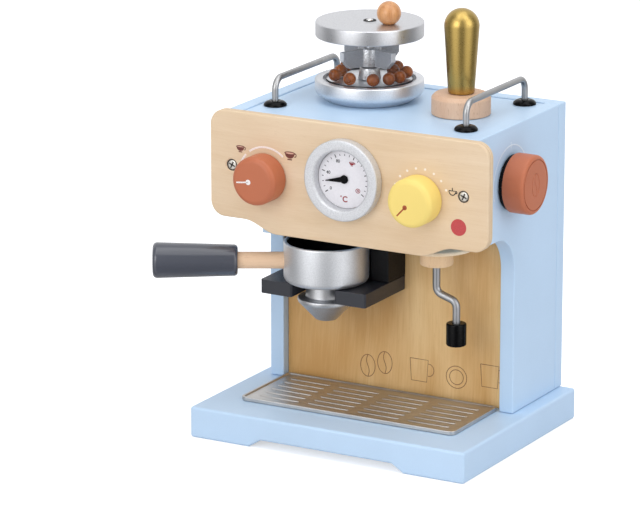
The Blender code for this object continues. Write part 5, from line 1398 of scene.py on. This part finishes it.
sleeve = add_turned(
    "stirrer_sleeve",
    ((sleeve_bore, 0, 0), (sleeve_radius, 0, 0.0004), (sleeve_radius, sleeve_height, 0.0004),
     (sleeve_bore, sleeve_height, 0)),
    paddle_foot, (0, 0, 0), 56, 3,
)
fit_piece(sleeve, "grinder", "silver_paint", spindle_silver)


# Bean beads: small wooden balls that stand for coffee beans, stained brown and varnished. They
# lie loose on the dish's floor, round the spindle.
def copied(model, name):
    """A copy of a piece with its own mesh."""
    twin = model.copy()
    twin.data = model.data.copy()
    twin.name = twin.data.name = name
    bpy.context.collection.objects.link(twin)
    return twin


bead_radius = 0.005
bead_squash = 0.985
bead_wood = wooden(
    "bead_brown", srgb(180, 96, 20), srgb(108, 51, 10), srgb(54, 26, 8), (0.4, 0.9, 0.2),
    Figure=0.8, Pores=0.5, Clouds=0.5, Fibre_Size=1.6,
)
varnish(bead_wood, 0.4, 0.1)
main_shader(bead_wood).inputs["Specular IOR Level"].default_value = 0.15
bpy.ops.object.select_all(action="DESELECT")
bpy.ops.mesh.primitive_uv_sphere_add(segments=32, ring_count=20, radius=bead_radius)
bead_model = bpy.context.active_object
bpy.ops.object.mode_set(mode="EDIT")
bpy.ops.mesh.select_all(action="SELECT")
bpy.ops.transform.resize(value=(1, 1, bead_squash))
bpy.ops.object.mode_set(mode="OBJECT")
bpy.ops.object.shade_smooth()
for number in range(1, 12):
    node = "bean_bead_%02d" % number
    bead = copied(bead_model, "bead_%02d" % number)
    lay_at(bead, middle_of(node))
    fit_piece(bead, "machine", "bean_paint", bead_wood, node)
bpy.data.objects.remove(bead_model)

# Tamper: a beech foot with a chamfered rim and a turned handle sprayed gold, glued in with a
# peg. It stands loose on the top board.
tamper_middle = foot_of("tamper_foot")
foot_radius, foot_rim, foot_flat, foot_height = 0.0229, 0.0132, 0.0201, 0.016
socket_radius, socket_floor = 0.0043, 0.0057
foot_wood = wooden(
    "foot_beech", srgb(230, 194, 164), srgb(210, 166, 134), srgb(168, 120, 88), upright,
    Figure=0.45, Pores=0.5, Clouds=0.2, Fibre_Size=1.0,
)
foot = add_turned(
    "tamper_foot_wood",
    ((0, 0, 0), (foot_radius, 0, 0.0008), (foot_radius, foot_rim, 0.0008), (foot_flat, foot_height, 0.0008),
     (socket_radius, foot_height, 0), (socket_radius, socket_floor, 0), (0, socket_floor, 0)),
    tamper_middle, (0, 0, 0), 96, 4,
)
fit_piece(foot, "tamper", "beech", foot_wood, "tamper_foot")
gold_paint = flaked("gold_paint", srgb(177, 150, 84), 0.34, 0.012, 1.0, 0.004, 3600.0)
varnish(gold_paint, 0.2, 0.3)
peg_radius, peg_length = socket_radius - glue_gap, 0.010
handle_foot, handle_bottom, handle_top = 0.0102, foot_height + glue_gap, 0.0823
dome_radius = 0.0136
dome_steps = 14
crown = handle_top - dome_radius
dome = [
    (dome_radius * math.cos(math.pi / 2 * step / dome_steps),
     crown + dome_radius * math.sin(math.pi / 2 * step / dome_steps), 0)
    for step in range(dome_steps)
]
handle = add_turned(
    "tamper_handle_wood",
    [(0, handle_bottom - peg_length, 0), (peg_radius, handle_bottom - peg_length, 0),
     (peg_radius, handle_bottom, 0), (handle_foot, handle_bottom, 0.0012)] + dome + [(0, handle_top, 0)],
    tamper_middle, (0, 0, 0), 80, 5,
)
fit_piece(handle, "tamper", "gold_paint", gold_paint, "tamper_handle")

# Brew group: a blue board under the head, and below it a black block with a round hollow and
# a black fork with a slot, all screwed up from below against the head.
black_paint = painted("black_paint", srgb(37, 39, 47), srgb(84, 86, 96), 0.4, 0.4)
# The block takes a much darker black than the fork, with a weaker sheen: painted shade where the head above
# shades it.
shadow_black = painted("shadow_black", srgb(12, 12, 15), srgb(48, 49, 54), 0.3, 0.55)
main_shader(shadow_black).inputs["Specular IOR Level"].default_value = 0.2
board_setback = 0.003
low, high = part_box("group_board")
group_board = add_block("group_board_wood", low + Vector((0, board_setback, 0)), high)
sand_edges(group_board, 0.0008)
fit_piece(group_board, "machine", "blue_paint", blue_paint, "group_board")
basket_radius = 0.0333
basket_air = 0.001
basket_middle = middle_of("portafilter_spout")
basket_middle.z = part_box("portafilter_basket")[0].z - glue_gap
group_block = add_block("group_block_wood", *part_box("group_block"))
hollow = add_turned(
    "hollow", disc_profile(basket_radius + basket_air, -0.01, 0.06), basket_middle, sides=96,
)
cut_away(group_block, hollow)
sand_edges(group_block, 0.0007)
fit_piece(group_block, "machine", "black_paint", shadow_black, "group_block")
slot_half = 0.019
fork_low, fork_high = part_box("group_fork")
fork = add_block("group_fork_wood", fork_low, fork_high)
slot_sides = add_block(
    "slot", Vector((basket_middle.x - slot_half, fork_low.y - saw_room, fork_low.z - saw_room)),
    Vector((basket_middle.x + slot_half, basket_middle.y, fork_high.z + saw_room)),
)
slot_end = add_turned("slot_end", disc_profile(slot_half, -0.03, 0.01), basket_middle, sides=96)
cut_away(fork, slot_sides)
cut_away(fork, slot_end)
pick(fork, "EDGE", lambda points: abs(points[0].z - points[1].z) > 0.005 and (
    points[0].y < fork_low.y + hair or points[0].y > fork_high.y - hair
))
bpy.ops.mesh.bevel(offset=0.0015, segments=4, profile=0.5)
bpy.ops.object.mode_set(mode="OBJECT")
sand_edges(fork, 0.0008)
fit_piece(fork, "machine", "black_paint", black_paint, "group_fork")

# Portafilter: a turned silver basket, open above and black inside, with a neck and a cone below
# that slides in the fork. A beech dowel joins it to a dark grey turned handle.
handle_turn = math.radians(209.4)
spout_end, cone_foot, cone_low, cone_high = -0.0308, 0.0082, -0.0157, -0.0127
cone_radius, neck_radius, neck_low, neck_high = 0.0224, 0.016, -0.0119, -0.0002
spout = add_turned(
    "spout_wood",
    ((0, spout_end, 0), (cone_foot, spout_end, 0.0011), (cone_radius, cone_low, 0.0013),
     (cone_radius, cone_high, 0.0010), (neck_radius, neck_low, 0.0008), (neck_radius, neck_high, 0),
     (0, neck_high, 0)),
    basket_middle, (0, 0, 0), 80, 5,
)
spout_silver = flaked("spout_silver", srgb(196, 197, 200), 0.4, 0.12, 0.95, 0.08, 2400.0)
fit_piece(spout, "portafilter_carrier", "silver_paint", spout_silver, "portafilter_spout")
basket_bore, basket_floor, basket_top = 0.0303, 0.004, 0.0323
basket = add_turned(
    "basket_wood",
    ((0, glue_gap, 0), (basket_radius, glue_gap, 0.0045), (basket_radius, basket_top, 0.0013),
     (basket_bore, basket_top, 0.0013), (basket_bore, basket_floor, 0.003), (0, basket_floor, 0)),
    basket_middle, (0, 0, 0), 128, 8,
)
basket_silver = flaked("basket_silver", srgb(216, 218, 222), 0.47, 0.1, 0.92, 0.07, 2400.0)
fit_piece(basket, "portafilter", "silver_paint", basket_silver, "portafilter_basket")
# The lining is black paint made as dark as the block's, so it is partly painted shade in the deep hollow of
# the basket.
lining_bore, lining_radius = basket_bore - 0.0004, basket_bore - 0.0001
lining_floor, lining_top = basket_floor + 0.0001, 0.0312
lining = add_turned(
    "basket_lining",
    ((0, lining_floor, 0), (lining_bore, lining_floor, 0.003), (lining_bore, lining_top, 0),
     (lining_radius, lining_top, 0), (lining_radius, basket_floor, 0.003), (0, basket_floor, 0)),
    basket_middle, (0, 0, 0), 96, 6,
)
fit_piece(lining, "portafilter", "black_paint", shadow_black)
dowel_wood = wooden(
    "dowel_beech", srgb(242, 208, 174), srgb(224, 184, 146), srgb(188, 142, 102), (0, 0, handle_turn),
    Figure=0.4, Pores=0.4, Clouds=0.2, Fibre_Size=1.0,
)
outwards = (0, math.pi / 2, handle_turn)
handle_place = basket_middle + Vector((0, 0, 0.0163))
dowel_start, dowel_end, dowel_radius = 0.0293, 0.0843, 0.0066
dowel = add_turned(
    "dowel_wood",
    ((0, dowel_start, 0), (dowel_radius, dowel_start, 0.0004), (dowel_radius, dowel_end, 0),
     (0, dowel_end, 0)),
    handle_place, outwards, 56, 3,
)
fit_piece(dowel, "portafilter", "beech", dowel_wood, "portafilter_dowel")

# The handle is polished after painting, so its shine is even and only its colour is cloudy.
charcoal = painted("charcoal_paint", srgb(74, 77, 87), srgb(110, 114, 124), 0.2, 0.23, 0.012)
charcoal.node_tree.links.remove(main_shader(charcoal).inputs["Roughness"].links[0])
varnish(charcoal, 0.35, 0.14)
grip_start, grip_end, grip_neck, grip_radius = 0.0686, 0.1346, 0.0122, 0.0141
hole_end, hole_radius = dowel_end + glue_gap, dowel_radius + glue_gap
grip = add_turned(
    "handle_wood",
    ((0, hole_end, 0), (hole_radius, hole_end, 0), (hole_radius, grip_start, 0),
     (grip_neck, grip_start, 0.0028), (grip_radius, grip_end, 0.0036), (0, grip_end, 0)),
    handle_place, outwards, 80, 8,
)
fit_piece(grip, "portafilter", "charcoal_paint", charcoal, "portafilter_handle")

# Steam wand: a beech disc and collar on a spacer under the head, and a bent steel rod with a
# black tip that swivels in them.
wand_middle = middle_of("wand_disc")
wand_middle.z = head_floor
wand_bore = 0.0035
disc_radius, disc_low, disc_high = 0.0305, -0.0121, -0.0091
# The disc's beech is paler than the collar's: painted light that makes up for the shade under the head.
disc_wood = wooden(
    "disc_beech_painted_light", srgb(250, 228, 196), srgb(236, 206, 168), srgb(196, 158, 120),
    Figure=0.4, Pores=0.4, Clouds=0.2,
)
disc = add_turned(
    "wand_disc_wood",
    ((wand_bore, disc_low, 0), (disc_radius, disc_low, 0.0011), (disc_radius, disc_high, 0.0011),
     (wand_bore, disc_high, 0)),
    wand_middle, (0, 0, 0), 96, 5,
)
fit_piece(disc, "machine", "beech", disc_wood, "wand_disc")
# The spacer takes the same pale wood: painted light in the dark gap under the head.
paint_solid("wand_spacer", disc_wood)
collar_radius, collar_low, collar_high = 0.0129, -0.0261, disc_low - glue_gap
collar_wood = wooden(
    "collar_beech", srgb(243, 211, 171), srgb(218, 180, 136), srgb(184, 142, 98), upright,
    Figure=0.45, Pores=0.45, Clouds=0.2, Fibre_Size=1.0,
)
collar = add_turned(
    "wand_collar_wood",
    ((wand_bore, collar_low, 0), (collar_radius, collar_low, 0.0012), (collar_radius, collar_high, 0),
     (wand_bore, collar_high, 0)),
    wand_middle, (0, 0, 0), 72, 5,
)
fit_piece(collar, "machine", "beech", collar_wood, "wand_collar")
rod_radius, rod_bend, kink_drop = 0.003, 0.0068, 0.0056
rod_low, rod_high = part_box("steam_wand_rod")
tip_x = middle_of("steam_wand_tip").x
kink_height = wand_middle.z + collar_low - 0.022
rod = add_rod("wand_rod_steel", [round_path((
    (wand_middle.x, wand_middle.y, rod_high.z), (wand_middle.x, wand_middle.y, kink_height),
    (tip_x, wand_middle.y, kink_height - kink_drop), (tip_x, wand_middle.y, rod_low.z),
), rod_bend)], rod_radius, 8)
bpy.ops.object.shade_smooth_by_angle(angle=math.radians(50))
wand_steel = metal("wand_steel", srgb(160, 161, 164), 0.44, 0.05, upright, 0.012)
fit_piece(rod, "steam_wand", "steel", wand_steel, "steam_wand_rod")
tip_radius, tip_length, tip_bore, tip_floor = 0.0079, 0.018, rod_radius + glue_gap, 0.0088
tip = add_turned(
    "wand_tip_plastic",
    ((0, 0, 0), (tip_radius, 0, 0.0016), (tip_radius, tip_length, 0.0012), (tip_bore, tip_length, 0.0002),
     (tip_bore, tip_floor, 0), (0, tip_floor, 0)),
    (tip_x, wand_middle.y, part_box("steam_wand_tip")[0].z), (0, 0, 0), 56, 5,
)
fit_piece(tip, "steam_wand", "black_plastic", black_plastic, "steam_wand_tip")

# Drip tray: a pressed sheet of brushed steel with a rounded rim and four columns of raised
# ribs that keep what stands on it out of the wet. It lies loose on the base board.
tray_height, tray_corner, tray_depth = 0.0032, 0.005, 0.0011
rim_width, rim_slope = 0.0018, 0.001
tray_low, tray_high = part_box("drip_tray")
tray = add_block("tray_steel_sheet", tray_low, Vector((tray_high.x, tray_high.y, tray_low.z + tray_height)))
pick(tray, "EDGE", lambda points: abs(points[0].z - points[1].z) > tray_height / 2)
bpy.ops.mesh.bevel(offset=tray_corner, segments=8, profile=0.5)
bpy.ops.object.mode_set(mode="OBJECT")
pick(tray, "FACE", lambda points: all(point.z > tray_low.z + tray_height - hair for point in points))
bpy.ops.mesh.inset(thickness=rim_width)
bpy.ops.mesh.inset(thickness=rim_slope, depth=-tray_depth)
bpy.ops.object.mode_set(mode="OBJECT")
sand_edges(tray, 0.0005, 3)
rib_columns, rib_rows, rib_gap = 4, 6, 0.008
rib_end, rib_half_width, rib_rise = 0.0022, 0.0016, 0.0006
side_margin, end_margin = 0.0102, 0.0032
field_width = tray_high.x - tray_low.x - 2 * side_margin
rib_length = (field_width - (rib_columns - 1) * rib_gap) / rib_columns
row_pitch = (tray_high.y - tray_low.y - 2 * end_margin) / (rib_rows + 1)
bpy.ops.object.select_all(action="DESELECT")
bpy.ops.mesh.primitive_uv_sphere_add(segments=24, ring_count=12, radius=1)
rib_model = bpy.context.active_object
bpy.ops.object.mode_set(mode="EDIT")
bpy.ops.mesh.select_all(action="SELECT")
bpy.ops.transform.resize(value=(rib_end, rib_half_width, rib_rise))
bpy.ops.object.mode_set(mode="OBJECT")
for sign in (1, -1):
    pick(rib_model, "VERT", lambda points: sign * points[0].x > 0.00005)
    bpy.ops.transform.translate(value=(sign * (rib_length / 2 - rib_end), 0, 0))
    bpy.ops.object.mode_set(mode="OBJECT")
tray_floor = middle_of("drip_tray")
tray_floor.z = tray_low.z + tray_height - tray_depth
ribs = []
for column in range(rib_columns):
    for row in range(rib_rows):
        rib = copied(rib_model, "rib")
        rib.location = tray_floor + Vector((
            (column - (rib_columns - 1) / 2) * (rib_length + rib_gap),
            (row - (rib_rows - 1) / 2) * row_pitch, 0,
        ))
        ribs.append(rib)
bpy.data.objects.remove(rib_model)
rib_sheet = joined("tray_ribs", ribs)
bpy.ops.object.transform_apply(location=True, rotation=True, scale=True)
bpy.ops.object.shade_smooth_by_angle(angle=math.radians(60))
tray_steel = metal("tray_steel", srgb(192, 190, 188), 0.42, 0.08)
tray_whole = joined("tray_steel_sheet", [tray, rib_sheet])
fit_piece(tray_whole, "tray", "tray_steel", tray_steel, "drip_tray")
